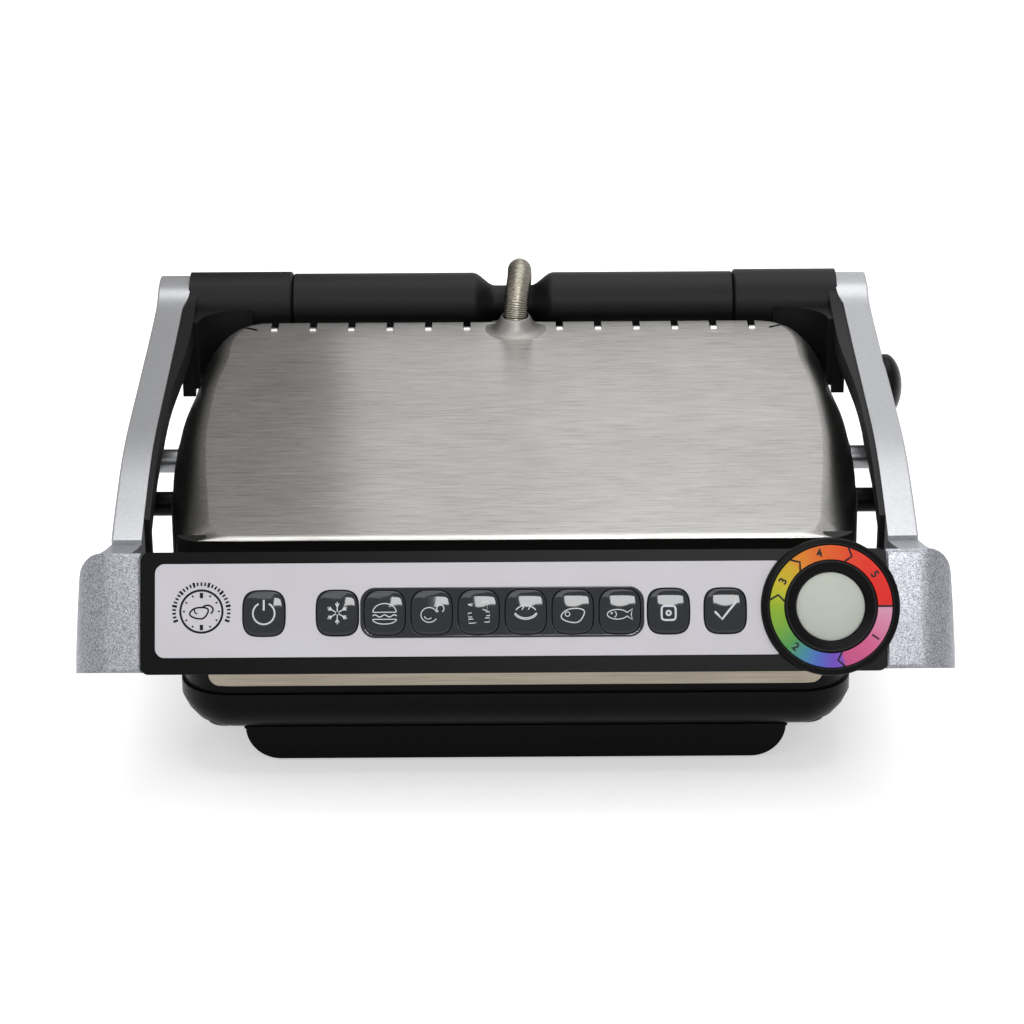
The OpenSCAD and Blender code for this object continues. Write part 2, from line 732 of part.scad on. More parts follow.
module button_power() button(power_x);
module button_frozen() button(frozen_x);
module button_1() button(programme_x(1));
module button_2() button(programme_x(2));
module button_3() button(programme_x(3));
module button_4() button(programme_x(4));
module button_5() button(programme_x(5));
module button_6() button(programme_x(6));
module button_manual() button(manual_x);
module button_confirm() button(confirm_x);

module arm_left() arm(-1);
module arm_right() arm(1);
module arm_liner_left() arm_liner(-1);
module arm_liner_right() arm_liner(1);
module end_block_left() end_block(-1);
module end_block_right() end_block(1);

// ---- head

// One level of the head, barrel-shaped in plan. The insets are at the sides, the front and the back, and
// each row below is a circle: its place along the head, its radius, and how far in its outer edge is.
module head_level(w, side, front, back, h = 0.1) {
    rows = [[front + 12, 12, 10.5], [76, 60, 2.7], [128, 60, 0],
        [cover_d - back - head_corner_r, head_corner_r, 4]];
    for (sx = [-1, 1], row = rows)
        translate([sx * (cover_w / 2 - row[2] - side - row[1]), row[0], w])
            cylinder(r = row[1], h = h, $fn = row[1] > 20 ? 80 : 32);
}

module cover_solid(t) hull() {
    head_level(rim_w1, t, t, t);
    head_level(cover_h - 13, 2.5 + t, 0.4 + t, 0.6 + t);
    head_level(cover_h - 6, 7 + t, 0.8 + t, 1.2 + t);
    head_level(cover_h - 2 - t, 12 + t, 1.6 + t, 2 + t);
    head_level(cover_h - t - 0.1, 17 + t, 4 + t, 4.5 + t);
}

module head_cover() color(steel) on_slope() difference() {
    cover_solid(0);
    cover_solid(cover_t);
    translate([0, 0, -0.05]) hull() head_level(rim_w1 - 1, cover_t, cover_t, cover_t, 1.2);
    // The front wall is short, over the black rim
    translate([-200, -10, 0]) cube([400, 16, rim_front_w + gap]);
    // Vents along the back edge
    for (sx = [-1, 1], i = [0 : 5])
        translate([sx * (22.7 + 18.85 * i), cover_d - 2, cover_h - 5]) cube([3.6, 10, 12], center = true);
    translate([boss_x, boss_u, cover_h - 5]) cylinder(r = conduit_r + boss_gap, h = 10);
}

module head_rim() color("#242623") on_slope() difference() {
    union() {
        hull() head_level(rim_w0, -0.8, -0.8, -0.8, rim_w1 - rim_w0 - 0.1);
        intersection() {
            hull() head_level(rim_w1 - 1, 0, 0, 0, rim_front_w - rim_w1 + 1);
            translate([-200, -10, 0]) cube([400, 15.8, 60]);
        }
    }
    translate([0, plate_u + plate_d / 2 + 0.5, rim_w0 - 1]) slab(plate_w + 1.6, plate_d + 3, 40, 12);
    // Button hole
    translate([-70.3, -5, 4.7]) cube([22.6, 20, 7.6]);
    translate([-73.4, 4.6, 3]) cube([28.8, 5, 9.6]);
    for (sx = [-1, 1], p = [guide_pin, stop_pin])
        rotate([-plate_slope, 0, 0]) translate([sx * 143, p[0] - plates_y, p[1] - plates_z])
            rotate([0, sx * 90, 0]) cylinder(r = pin_r + 0.02, h = 20);
}

module upper_plate() color("#2a2a2b") on_slope() mirror([0, 0, 1]) cooking_plate();
module upper_element() color("#77736c") on_slope() heating_tube(15.6);
module upper_reflector() color("#a9abac") on_slope() mirror([0, 0, 1]) heat_pan(-25);
module upper_thermostat() color("#c9c4b5") on_slope()
    translate([0, 111, 17.6]) mirror([0, 0, 1]) thermostat();

module upper_release_button() color("#2c2d2e") on_slope() {
    translate([-70, -2.6, 5]) cube([22, 9.4, 7]);
    translate([-73, 5, 3.4]) cube([28, 1.8, 8.8]);
}

module pins(p) for (sx = [-1, 1])
    translate([0, p[0], p[1]]) rod_x(pin_r, sx > 0 ? 143.2 : -169, sx > 0 ? 169 : -143.2);

module guide_pins() color("#7b7e77") pins(guide_pin);
module stop_pins() color("#161716") pins(stop_pin);

module thickness_sensor() color("#57493c") on_slope() {
    translate([118, 203, 13]) cylinder(r = 4, h = 10);
    translate([112, 199, 23 - eps]) cube([16, 8, 2]);
}

module head_screws() color("#85888b") on_slope() for (x = [-128, 128], u = [26, 180])
    translate([x, u, 12.02]) cylinder(r = 3, h = 2);

// ---- drawing

base_shell();
rear_housing();
tray_rails();
legs();
bottom_cover();
front_trim();
lower_plate();
lower_element();
lower_reflector();
lower_thermostat();
lower_release_button();
power_board();
drip_tray();
feet();
base_screws();
hinge_bar();
hinge_shaft();
cord_gland();
conduit_socket();
arm_left();
arm_right();
arm_liner_left();
arm_liner_right();
hinge_bushes();
side_cap();
end_block_left();
end_block_right();
handle_frame();
handle_back();
handle_screws();
faceplate();
ring_bezel();
colour_ring();
ring_lens();
control_board();
keypad_membrane();
button_power();
button_frozen();
button_1();
button_2();
button_3();
button_4();
button_5();
button_6();
button_manual();
button_confirm();
head_cover();
head_rim();
upper_plate();
upper_element();
upper_reflector();
upper_thermostat();
upper_release_button();
guide_pins();
stop_pins();
thickness_sensor();
conduit_boss();
conduit();
head_screws();
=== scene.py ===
# Looks of an electric contact grill: a steel-covered head between two silver arms, a handle with a
# button panel and a round display, and a black lower housing with its drip tray.
import json
import math

import bmesh
import bpy
from mathutils import Matrix, Vector


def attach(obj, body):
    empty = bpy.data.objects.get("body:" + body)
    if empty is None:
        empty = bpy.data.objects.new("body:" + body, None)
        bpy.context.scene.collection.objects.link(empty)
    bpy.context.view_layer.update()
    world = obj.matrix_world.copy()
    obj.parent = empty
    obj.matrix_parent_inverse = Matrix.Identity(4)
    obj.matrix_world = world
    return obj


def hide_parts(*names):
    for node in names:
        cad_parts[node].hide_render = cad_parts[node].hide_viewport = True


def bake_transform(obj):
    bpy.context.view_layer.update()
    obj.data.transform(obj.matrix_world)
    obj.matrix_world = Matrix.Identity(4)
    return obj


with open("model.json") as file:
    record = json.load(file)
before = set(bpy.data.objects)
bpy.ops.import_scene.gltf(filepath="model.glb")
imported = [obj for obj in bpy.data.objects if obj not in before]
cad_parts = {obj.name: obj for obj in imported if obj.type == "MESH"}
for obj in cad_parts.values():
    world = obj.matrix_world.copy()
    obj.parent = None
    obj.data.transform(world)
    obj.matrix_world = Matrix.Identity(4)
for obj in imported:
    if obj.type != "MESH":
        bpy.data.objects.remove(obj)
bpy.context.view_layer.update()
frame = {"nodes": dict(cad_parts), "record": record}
print("frame loaded,", len(frame["nodes"]), "nodes")

mm = 0.001
bodyOf = {node: body for body, nodes in frame["record"]["behaviour"]["bodies"].items() for node in nodes}
slotOf = {part["node"]: part["material_slot"] for part in frame["record"]["subparts"]}

# The leaning frame of the control panel and the sloping frame of the plates, both in mm
panel = {"y": -161, "z": 66.1, "turn": 66}
slope = {"y": -115, "z": 76, "turn": 7}
onPanel = Matrix.Translation((0, panel["y"], panel["z"])) @ Matrix.Rotation(math.radians(panel["turn"]), 4, "X")
onSlope = Matrix.Translation((0, slope["y"], slope["z"])) @ Matrix.Rotation(math.radians(slope["turn"]), 4, "X")


# Small helpers

def linearColour(hexText):
    channels = [int(hexText[i:i + 2], 16) / 255 for i in (1, 3, 5)]
    return [c / 12.92 if c <= 0.04045 else ((c + 0.055) / 1.055) ** 2.4 for c in channels] + [1]


def addNode(tree, kind, settings=None, links=None):
    node = tree.nodes.new(kind)
    for name, value in (settings or {}).items():
        if isinstance(name, int) or name in node.inputs:
            node.inputs[name].default_value = value
        else:
            setattr(node, name, value)
    for name, source in (links or {}).items():
        tree.links.new(source, node.inputs[name])
    return node


def blendAt(a, b, t):  # from a to b with a soft start and end
    t = min(1, max(0, t))
    return a + (b - a) * t * t * (3 - 2 * t)


def smoothPath(points, steps):  # an open curve through the points, its speed set by their spacing
    points = [Vector(p) for p in points]
    ends = [2 * points[0] - points[1]] + points + [2 * points[-1] - points[-2]]
    path = []
    for a, b, c, d in zip(ends, ends[1:], ends[2:], ends[3:]):
        t1 = (b - a).length ** 0.5
        t2 = t1 + (c - b).length ** 0.5
        t3 = t2 + (d - c).length ** 0.5
        for k in range(steps):
            t = t1 + (t2 - t1) * k / steps
            ab = a.lerp(b, t / t1)
            bc = b.lerp(c, (t - t1) / (t2 - t1))
            cd = c.lerp(d, (t - t2) / (t3 - t2))
            path.append(ab.lerp(bc, t / t2).lerp(bc.lerp(cd, (t - t1) / (t3 - t1)), (t - t1) / (t2 - t1)))
    return path + [points[-1]]


def addLoft(bm, rings, place=Matrix(), caps=True, loop=False):  # a skin over rings of equal counts
    rows = [[bm.verts.new((place @ Vector(p)) * mm) for p in ring] for ring in rings]
    for low, high in zip(rows, rows[1:] + rows[:1] if loop else rows[1:]):
        for k in range(len(low)):
            n = (k + 1) % len(low)
            bm.faces.new((low[k], low[n], high[n], high[k]))
    if caps and not loop:
        bm.faces.new(rows[0][::-1])
        bm.faces.new(rows[-1])
    return bm


def circlePoints(radius, count, at=(0, 0), z=0):
    return [(at[0] + radius * math.cos(2 * math.pi * i / count),
             at[1] + radius * math.sin(2 * math.pi * i / count), z) for i in range(count)]


def applyModifiers(piece):
    plain = bpy.data.meshes.new_from_object(piece.evaluated_get(bpy.context.evaluated_depsgraph_get()))
    piece.modifiers.clear()
    piece.data = plain
    return piece


def linkMesh(name, bm):
    mesh = bpy.data.meshes.new(name)
    bm.to_mesh(mesh)
    bm.free()
    piece = bpy.data.objects.new(name, mesh)
    bpy.context.scene.collection.objects.link(piece)
    return piece


def shadePiece(piece, material, body, replaced=(), sharpAngle=38):
    piece.data.materials.clear()
    piece.data.materials.append(material)
    piece.data.shade_smooth()
    piece.data.set_sharp_from_angle(angle=math.radians(sharpAngle))
    piece.modifiers.new("evenShading", "WEIGHTED_NORMAL").keep_sharp = True
    applyModifiers(piece)
    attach(piece, body)
    if replaced:
        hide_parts(*replaced)
    return piece


def finishPiece(name, bm, material, body, replaced=(), sharpAngle=38):
    bmesh.ops.remove_doubles(bm, verts=bm.verts, dist=0.001 * mm)
    bmesh.ops.recalc_face_normals(bm, faces=bm.faces)
    return shadePiece(linkMesh(name, bm), material, body, replaced, sharpAngle)


# Materials. Every pattern reads Object coordinates, in metres, so a scale is 1000 over a size in mm.
# A key that starts with a capital goes straight to the shader's own socket of that name.

mixA, mixB, mixOut = 6, 7, 2  # the colour sockets of a Mix node, whose names repeat


def startMaterial(name, look):
    material = bpy.data.materials.new(name)
    material.use_nodes = True
    tree = material.node_tree
    tree.nodes.clear()
    shader = addNode(tree, "ShaderNodeBsdfPrincipled", {
        "Base Color": linearColour(look["colour"]), "Roughness": look["roughness"],
        **{key: value for key, value in look.items() if key[0].isupper()}})
    addNode(tree, "ShaderNodeOutputMaterial", links={"Surface": shader.outputs["BSDF"]})
    place = addNode(tree, "ShaderNodeTexCoord").outputs["Object"]
    return material, tree, shader, place


def finishSurface(tree, shader, look, colourFactor, roughFactor, height):  # the three links all share
    tones = addNode(tree, "ShaderNodeMix", {"data_type": "RGBA", mixA: linearColour(look["colour"]),
                                            mixB: linearColour(look["second"])}, {"Factor": colourFactor})
    rough = addNode(tree, "ShaderNodeMapRange", {"To Min": look["roughness"] - look["spread"],
                                                 "To Max": look["roughness"] + look["spread"]}, {"Value": roughFactor})
    bump = addNode(tree, "ShaderNodeBump", {"Distance": look["depth"] * mm}, {"Height": height})
    tree.links.new(tones.outputs[mixOut], shader.inputs["Base Color"])
    tree.links.new(rough.outputs["Result"], shader.inputs["Roughness"])
    tree.links.new(bump.outputs["Normal"], shader.inputs["Normal"])


def mouldedPlastic(name, look):  # spark-eroded mould grain: an even, fine pebble with slow tone drift
    material, tree, shader, place = startMaterial(name, look)
    grain = addNode(tree, "ShaderNodeTexNoise", {"Scale": 1000 / look["grain"], "Detail": 2}, {"Vector": place})
    drift = addNode(tree, "ShaderNodeTexNoise", {"Scale": 1000 / 30, "Detail": 1}, {"Vector": place})
    finishSurface(tree, shader, look, drift.outputs["Fac"], grain.outputs["Fac"], grain.outputs["Fac"])
    return material


def brushedMetal(name, look):  # belt-brushed along X: long hair-thin streaks and a few short bright dashes
    material, tree, shader, place = startMaterial(name, look)
    length, width = look["streak"]
    stretched = addNode(tree, "ShaderNodeMapping",
                        {"Scale": (1000 / length, 1000 / width, 1000 / width)}, {"Vector": place})
    streaks = addNode(tree, "ShaderNodeTexNoise", {"Scale": 1, "Detail": 4, "Roughness": 0.6},
                      {"Vector": stretched.outputs["Vector"]})
    patches = addNode(tree, "ShaderNodeTexNoise", {"Scale": 1000 / 45, "Detail": 2}, {"Vector": place})
    tone = addNode(tree, "ShaderNodeMath", {"operation": "MULTIPLY_ADD", 1: 0.25},
                   {0: patches.outputs["Fac"], 2: streaks.outputs["Fac"]})
    contrast = addNode(tree, "ShaderNodeMapRange", {"From Min": 0.38, "From Max": 0.88}, {"Value": tone.outputs[0]})
    finishSurface(tree, shader, look, contrast.outputs["Result"], streaks.outputs["Fac"], streaks.outputs["Fac"])
    grainLine = addNode(tree, "ShaderNodeCombineXYZ", {"Y": 1.0})  # brushed along X, so it scatters across that
    tree.links.new(grainLine.outputs["Vector"], shader.inputs["Tangent"])
    return material


def flakePaint(name, look):  # silver lacquer: flakes drawn 0.5 mm wide, coarser than real ones, so they show
    material, tree, shader, place = startMaterial(name, look)
    flakes = addNode(tree, "ShaderNodeTexVoronoi", {"Scale": 1000 / look["flake"]}, {"Vector": place})
    level = addNode(tree, "ShaderNodeSeparateColor", links={"Color": flakes.outputs["Color"]})
    finishSurface(tree, shader, look, level.outputs["Red"], level.outputs["Green"], level.outputs["Blue"])
    return material


def speckledCoating(name, look):  # non-stick coat sprayed on cast aluminium: dark, with sparse mineral specks
    material, tree, shader, place = startMaterial(name, look)
    specks = addNode(tree, "ShaderNodeTexVoronoi", {"Scale": 1000 / look["speck"]}, {"Vector": place})
    sparse = addNode(tree, "ShaderNodeMapRange", {"From Min": 0.28, "From Max": 0.12},
                     {"Value": specks.outputs["Distance"]})
    orangePeel = addNode(tree, "ShaderNodeTexNoise", {"Scale": 1000 / 1.5}, {"Vector": place})
    finishSurface(tree, shader, look, sparse.outputs["Result"], orangePeel.outputs["Fac"], orangePeel.outputs["Fac"])
    return material


def circuitBoard(name, look):  # solder mask over etched copper: green with lighter tracks
    material, tree, shader, place = startMaterial(name, look)
    tracks = addNode(tree, "ShaderNodeTexVoronoi", {"Scale": 1000 / 7, "feature": "DISTANCE_TO_EDGE"},
                     {"Vector": place})
    lines = addNode(tree, "ShaderNodeMapRange", {"From Min": 0.09, "From Max": 0.06},
                    {"Value": tracks.outputs["Distance"]})
    finishSurface(tree, shader, look, lines.outputs["Result"], lines.outputs["Result"], lines.outputs["Result"])
    return material


def printedRingFilm(name, look):  # gloss film printed all round with a run of colours, one per cooking stage
    material, tree, shader, place = startMaterial(name, look)
    centre = onPanel @ Vector((ring["x"], ring["v"], 0)) * mm
    turned = addNode(tree, "ShaderNodeMapping", {"vector_type": "TEXTURE", "Location": centre,
                                                 "Rotation": (math.radians(panel["turn"]), 0, 0)}, {"Vector": place})
    around = addNode(tree, "ShaderNodeTexGradient", {"gradient_type": "RADIAL"}, {"Vector": turned.outputs["Vector"]})
    ramp = addNode(tree, "ShaderNodeValToRGB", links={"Fac": around.outputs["Fac"]})
    stops = ramp.color_ramp.elements
    for share, colour in look["stops"][1:-1]:
        stops.new(share).color = linearColour(colour)
    stops[0].color = linearColour(look["stops"][0][1])
    stops[-1].color = linearColour(look["stops"][-1][1])
    tree.links.new(ramp.outputs["Color"], shader.inputs["Base Color"])
    fine = addNode(tree, "ShaderNodeTexNoise", {"Scale": 1000 / 3}, {"Vector": place})
    rough = addNode(tree, "ShaderNodeMapRange", {"To Min": 0.35, "To Max": 0.5}, {"Value": fine.outputs["Fac"]})
    tree.links.new(rough.outputs["Result"], shader.inputs["Roughness"])
    return material


# How far round the film each colour lies, from 9 o'clock against the clock
ring = {"x": 130.1, "v": 26.5, "inner": 19.3, "outer": 25.3}
stageColours = [(0, "#8aac1c"), (0.05, "#78a62c"), (0.12, "#46904a"), (0.17, "#3e84a0"), (0.21, "#4a64bc"),
                (0.255, "#6c46ba"), (0.284, "#7c4cbc"), (0.286, "#c04c80"), (0.38, "#d05c8c"), (0.498, "#d898b2"),
                (0.502, "#dc1208"), (0.6, "#e0200c"), (0.701, "#e03c14"), (0.704, "#e0460c"), (0.8, "#dc6a0c"),
                (0.861, "#d88c10"), (0.865, "#cea010"), (0.93, "#c4b218"), (0.98, "#a6b41c"), (1, "#8aac1c")]

mattAbs = mouldedPlastic("mouldedAbsMatt", {  # soft satin black with a faint grey bloom
    "colour": "#0b0c0c", "second": "#101111", "roughness": 0.5, "spread": 0.06, "grain": 0.7, "depth": 0.012,
    "Specular IOR Level": 0.14})
housingAbs = mouldedPlastic("mouldedAbsDeepBlack", {  # near black, smoother than the handle's bar
    "colour": "#030304", "second": "#060607", "roughness": 0.36, "spread": 0.05, "grain": 0.9, "depth": 0.008,
    "Specular IOR Level": 0.08})
rimAbs = mouldedPlastic("glassFilledNylon", {  # heat-proof moulding: dark grey-green black, satin
    "colour": "#0e0f0d", "second": "#131412", "roughness": 0.42, "spread": 0.05, "grain": 0.6, "depth": 0.01,
    "Specular IOR Level": 0.12})
glossAbs = mouldedPlastic("glossAbs", {  # polished tool: clear reflections over blue-black
    "colour": "#10161d", "second": "#141a22", "roughness": 0.06, "spread": 0.01, "grain": 3, "depth": 0.002,
    "Specular IOR Level": 0.38})
satinFrame = mouldedPlastic("satinAbs", {  # the panel's surround: between gloss and matt
    "colour": "#070708", "second": "#0b0b0c", "roughness": 0.3, "spread": 0.04, "grain": 1, "depth": 0.004,
    "Specular IOR Level": 0.07})
rubber = mouldedPlastic("nitrileRubber", {  # dull, slightly dusty black
    "colour": "#141414", "second": "#1c1c1b", "roughness": 0.75, "spread": 0.06, "grain": 0.5, "depth": 0.02})
silicone = mouldedPlastic("siliconeSheet", {  # milky grey, soft sheen
    "colour": "#8e9296", "second": "#989ca0", "roughness": 0.55, "spread": 0.05, "grain": 0.5, "depth": 0.01})
acetal = mouldedPlastic("turnedAcetal", {  # waxy ivory
    "colour": "#d8d4c8", "second": "#cdc8ba", "roughness": 0.35, "spread": 0.05, "grain": 0.4, "depth": 0.01,
    "Subsurface Weight": 0.1, "Subsurface Scale": 0.002})
ceramic = mouldedPlastic("steatite", {  # fired, unglazed, chalky
    "colour": "#c9c4b5", "second": "#bdb6a4", "roughness": 0.7, "spread": 0.08, "grain": 0.3, "depth": 0.02})
whiteInk = mouldedPlastic("screenPrintWhite", {  # thin opaque ink, a little broken at its edge
    "colour": "#d4d8dc", "second": "#c4c9ce", "roughness": 0.45, "spread": 0.05, "grain": 0.2, "depth": 0.01})
blackInk = mouldedPlastic("screenPrintBlack", {  # thin opaque ink on the film
    "colour": "#0c0c0e", "second": "#17171a", "roughness": 0.4, "spread": 0.05, "grain": 0.2, "depth": 0.01,
    "Specular IOR Level": 0.1})
panelFilm = mouldedPlastic("metallisedPolyesterFilm", {  # silver-lavender satin, cool where the light turns
    "colour": "#cbc7cc", "second": "#d4d2d9", "roughness": 0.38, "spread": 0.04, "grain": 0.25, "depth": 0.003,
    "Specular IOR Level": 0.08})
frosted = mouldedPlastic("frostedPolycarbonate", {  # milky grey-green dome that scatters the lamps below it
    "colour": "#b9beb4", "second": "#c1c6bc", "roughness": 0.5, "spread": 0.04, "grain": 0.3, "depth": 0.003,
    "Subsurface Weight": 0.15, "Subsurface Scale": 0.003, "Specular IOR Level": 0.25})
stainless = brushedMetal("brushedStainless", {  # bright steel, its gloss drawn out across the brushing
    "colour": "#858380", "second": "#aaa9a7", "roughness": 0.28, "spread": 0.04, "streak": (18, 0.45),
    "depth": 0.005, "Metallic": 1, "Anisotropic": 0.8})
coneShadedSteel = brushedMetal("deepDrawnSteel", {  # the cover's sheet on the cone, rougher, and painted darker than the cover: painted shade that keeps the lamp's highlight on its steep front as grey as the sheet
    "colour": "#6f6d6a", "second": "#8a8885", "roughness": 0.5, "spread": 0.05, "streak": (18, 0.45),
    "depth": 0.01, "Metallic": 1})
trimSteel = brushedMetal("satinTrimSteel", {  # the warmer, duller strip under the panel
    "colour": "#827a6c", "second": "#a29a8c", "roughness": 0.4, "spread": 0.05, "streak": (25, 0.4),
    "depth": 0.006, "Metallic": 1, "Anisotropic": 0.5})
turnedSteel = brushedMetal("turnedSteel", {  # fine lathe lines round the pins, screws and shaft
    "colour": "#85868a", "second": "#a5a6a8", "roughness": 0.3, "spread": 0.06, "streak": (0.35, 6),
    "depth": 0.008, "Metallic": 1})
conduitSteel = brushedMetal("spiralWoundSteel", {  # bent strip, nickel-warm
    "colour": "#625e56", "second": "#918c80", "roughness": 0.26, "spread": 0.05, "streak": (2, 1.2),
    "depth": 0.006, "Metallic": 1})
sheathSteel = brushedMetal("scaledSheathSteel", {  # blued and browned by heat
    "colour": "#5d574f", "second": "#8a8478", "roughness": 0.45, "spread": 0.08, "streak": (3, 3),
    "depth": 0.01, "Metallic": 1})
aluminium = brushedMetal("millAluminium", {  # rolled sheet, cloudy grey
    "colour": "#9b9d9f", "second": "#b5b7b8", "roughness": 0.42, "spread": 0.06, "streak": (30, 0.8),
    "depth": 0.006, "Metallic": 1})
silverPaint = flakePaint("silverFlakeLacquer", {  # smooth mid grey with a faint shimmer
    "colour": "#999a9d", "second": "#aaabae", "roughness": 0.38, "spread": 0.05, "flake": 0.32,
    "depth": 0.012, "Metallic": 0.5})
shadedBlockPaint = flakePaint("coarseFlakeLacquer", {  # the arms' silver lacquer on the end blocks, its tones set darker than the arms' as painted shade; bright flakes among blue-grey ones, each about a pixel wide
    "colour": "#60636a", "second": "#adaeb4", "roughness": 0.38, "spread": 0.08, "flake": 0.36,
    "depth": 0.02, "Metallic": 0.6})
plateCoating = speckledCoating("sprayedNonStick", {  # charcoal with pale specks
    "colour": "#242425", "second": "#5c5c5c", "roughness": 0.42, "spread": 0.05, "speck": 1.6, "depth": 0.01,
    "Specular IOR Level": 0.45})
boardGreen = circuitBoard("glassEpoxyBoard", {"colour": "#1d5a33", "second": "#3f8a55", "roughness": 0.35,
                                              "spread": 0.04, "depth": 0.03})
ringFilm = printedRingFilm("printedPolyesterFilm", {"colour": "#b8b04a", "roughness": 0.34, "stops": stageColours,
                                                    "Specular IOR Level": 0.15})
finishOf = {"black_plastic": mattAbs, "gloss_black": satinFrame, "silver_paint": silverPaint,
            "brushed_steel": stainless, "trim_steel": trimSteel, "plate_coating": plateCoating,
            "bare_aluminium": aluminium, "bright_steel": turnedSteel, "sheath_steel": sheathSteel,
            "conduit_steel": conduitSteel, "circuit_board": boardGreen, "rubber": rubber, "silicone": silicone,
            "acetal": acetal, "panel_film": panelFilm, "colour_film": ringFilm, "frosted_lens": frosted,
            "ceramic": ceramic}
print("materials made")


# The steel cover: one pressed sheet, lofted from its lower edge over the rolled sides to a slightly crowned top

cover = {"depth": 228, "halfWidth": 155.5, "top": 35, "crown": 0.6, "thickness": 1, "proud": 0.3,
         "lowSide": 13.6, "lowFront": 33, "lowFrom": 0.6, "lowTo": 7,
         "sideRoll": 16.3, "frontRoll": 4, "backRoll": 4.4, "sideFullness": 1.5, "frontFullness": 2.2,
         "backFullness": 3.9, "levels": 16}


# Pieces whose CAD shape is right: a merged copy with its edges rounded as a mould or a press leaves them

def plainName(node):
    first, *rest = node.split("_")
    return first + "".join(word.capitalize() for word in rest)


def widenArm(spot):  # the arm's inside comes in to meet the bar's end
    inner = 159 + (spot.y + 106) * math.tan(math.radians(1))
    if abs(abs(spot.x) - inner) < 0.6:
        spot.x -= math.copysign(blendAt(0, 2.8, (spot.y - 104) / 14), spot.x)


def thickenLiner(spot):  # the strip along the arm's inside stands out as far as the head leaves room
    strip = 156.5 + (spot.y + 106) * math.tan(math.radians(1))
    if abs(abs(spot.x) - strip) < 0.3:
        spot.x -= math.copysign(blendAt(0, 3.8, (spot.y + 5) / 80), spot.x)
    elif abs(abs(spot.x) - 158.6) < 0.1 and spot.y > 110:
        spot.x = math.copysign(160.6, spot.x)


def raiseRim(spot):  # black shows under the steel along the front
    flat = onSlope.inverted() @ spot
    if flat.z > 27:
        spot.z += cover["lowFront"] - 0.3 - 27.6


reshaping = {"arm_left": widenArm, "arm_right": widenArm, "arm_liner_left": thickenLiner,
             "arm_liner_right": thickenLiner, "head_rim": raiseRim}


def dressNode(node, material, rounds, segments=3, sharpAngle=38):
    bm = bmesh.new()
    bm.from_mesh(frame["nodes"][node].data)
    for vertex in bm.verts if node in reshaping else ():
        spot = vertex.co / mm
        reshaping[node](spot)
        vertex.co = spot * mm
    bmesh.ops.remove_doubles(bm, verts=bm.verts, dist=0.001 * mm)
    bmesh.ops.dissolve_limit(bm, angle_limit=math.radians(0.5), verts=bm.verts[:], edges=bm.edges[:])
    for radius, wanted in rounds:
        corners = [e for e in bm.edges if len(e.link_faces) == 2 and e.calc_face_angle(0) > math.radians(32)
                   and wanted(e)]
        bmesh.ops.bevel(bm, geom=corners, offset=radius * mm, segments=segments, profile=0.5, affect="EDGES",
                        clamp_overlap=True)
    return finishPiece(plainName(node), bm, material, bodyOf[node], [node], sharpAngle)


def anyEdge(edge):
    return True


def outerArmEdge(edge):  # the edges round an arm's outer face
    return any(abs(f.normal.x) > 0.98 and abs(f.calc_center_median().x) > 0.165 for f in edge.link_faces)


dressing = {  # node: material and the rounding of its edges in mm
    "base_shell": (housingAbs, [(0.8, anyEdge)]), "rear_housing": (housingAbs, [(0.8, anyEdge)]),
    "tray_rails": (housingAbs, [(0.3, anyEdge)]), "legs": (housingAbs, [(0.3, anyEdge)]),
    "bottom_cover": (housingAbs, [(0.3, anyEdge)]), "front_trim": (trimSteel, [(0.3, anyEdge)]),
    "lower_plate": (plateCoating, [(0.5, anyEdge)]), "upper_plate": (plateCoating, [(0.5, anyEdge)]),
    "lower_release_button": (mattAbs, [(0.6, anyEdge)]), "upper_release_button": (mattAbs, [(0.6, anyEdge)]),
    "drip_tray": (housingAbs, [(0.5, anyEdge)]), "feet": (rubber, [(0.6, anyEdge)]),
    "hinge_bar": (mattAbs, [(0.3, anyEdge)]), "cord_gland": (rubber, [(0.3, anyEdge)]),
    "conduit_socket": (mattAbs, [(0.4, anyEdge)]), "side_cap": (satinFrame, [(0.3, anyEdge)]),
    "arm_left": (silverPaint, [(2.4, outerArmEdge), (0.5, anyEdge)]),
    "arm_right": (silverPaint, [(2.4, outerArmEdge), (0.5, anyEdge)]),
    "arm_liner_left": (mattAbs, [(0.4, anyEdge)]), "arm_liner_right": (mattAbs, [(0.4, anyEdge)]),
    # the end blocks' darker lacquer is painted shade; their flakes are the paint's grain
    "end_block_left": (shadedBlockPaint, [(0.8, anyEdge)]), "end_block_right": (shadedBlockPaint, [(0.8, anyEdge)]),
    "handle_frame": (satinFrame, [(0.7, anyEdge)]), "handle_back": (mattAbs, [(0.4, anyEdge)]),
    "faceplate": (panelFilm, [(0.2, anyEdge)]),
    "colour_ring": (ringFilm, [(0.1, anyEdge)]), "ring_lens": (frosted, [(0.1, anyEdge)]),
    "head_rim": (rimAbs, [(0.7, anyEdge)]), "guide_pins": (turnedSteel, [(0.4, anyEdge)]),
    "stop_pins": (satinFrame, [(0.4, anyEdge)]), "upper_reflector": (aluminium, [(0.3, anyEdge)]),
    "lower_reflector": (aluminium, [(0.3, anyEdge)]), "hinge_shaft": (turnedSteel, [(0.4, anyEdge)]),
}
for node, (material, rounds) in dressing.items():
    if node in frame["nodes"]:
        dressNode(node, material, rounds)
print("carried-over pieces dressed")


# The cover's outline from above, and the sheet lofted up from it
coverOutline = [(0, 0), (45, 0), (90, 0), (122, 0), (133.5, 1.1), (140.6, 4.8), (144.2, 10.5), (145.6, 19),
                (147.4, 33.5), (150.1, 53), (152.8, 76), (154.9, 100), (155.5, 128), (155.3, 150), (153.3, 172),
                (152, 185), (151.5, 204.9), (149.9, 214), (147.8, 219.2), (145, 223.1), (141.2, 225.8),
                (136.1, 227.5), (125.1, 228), (60, 228), (0, 228)]


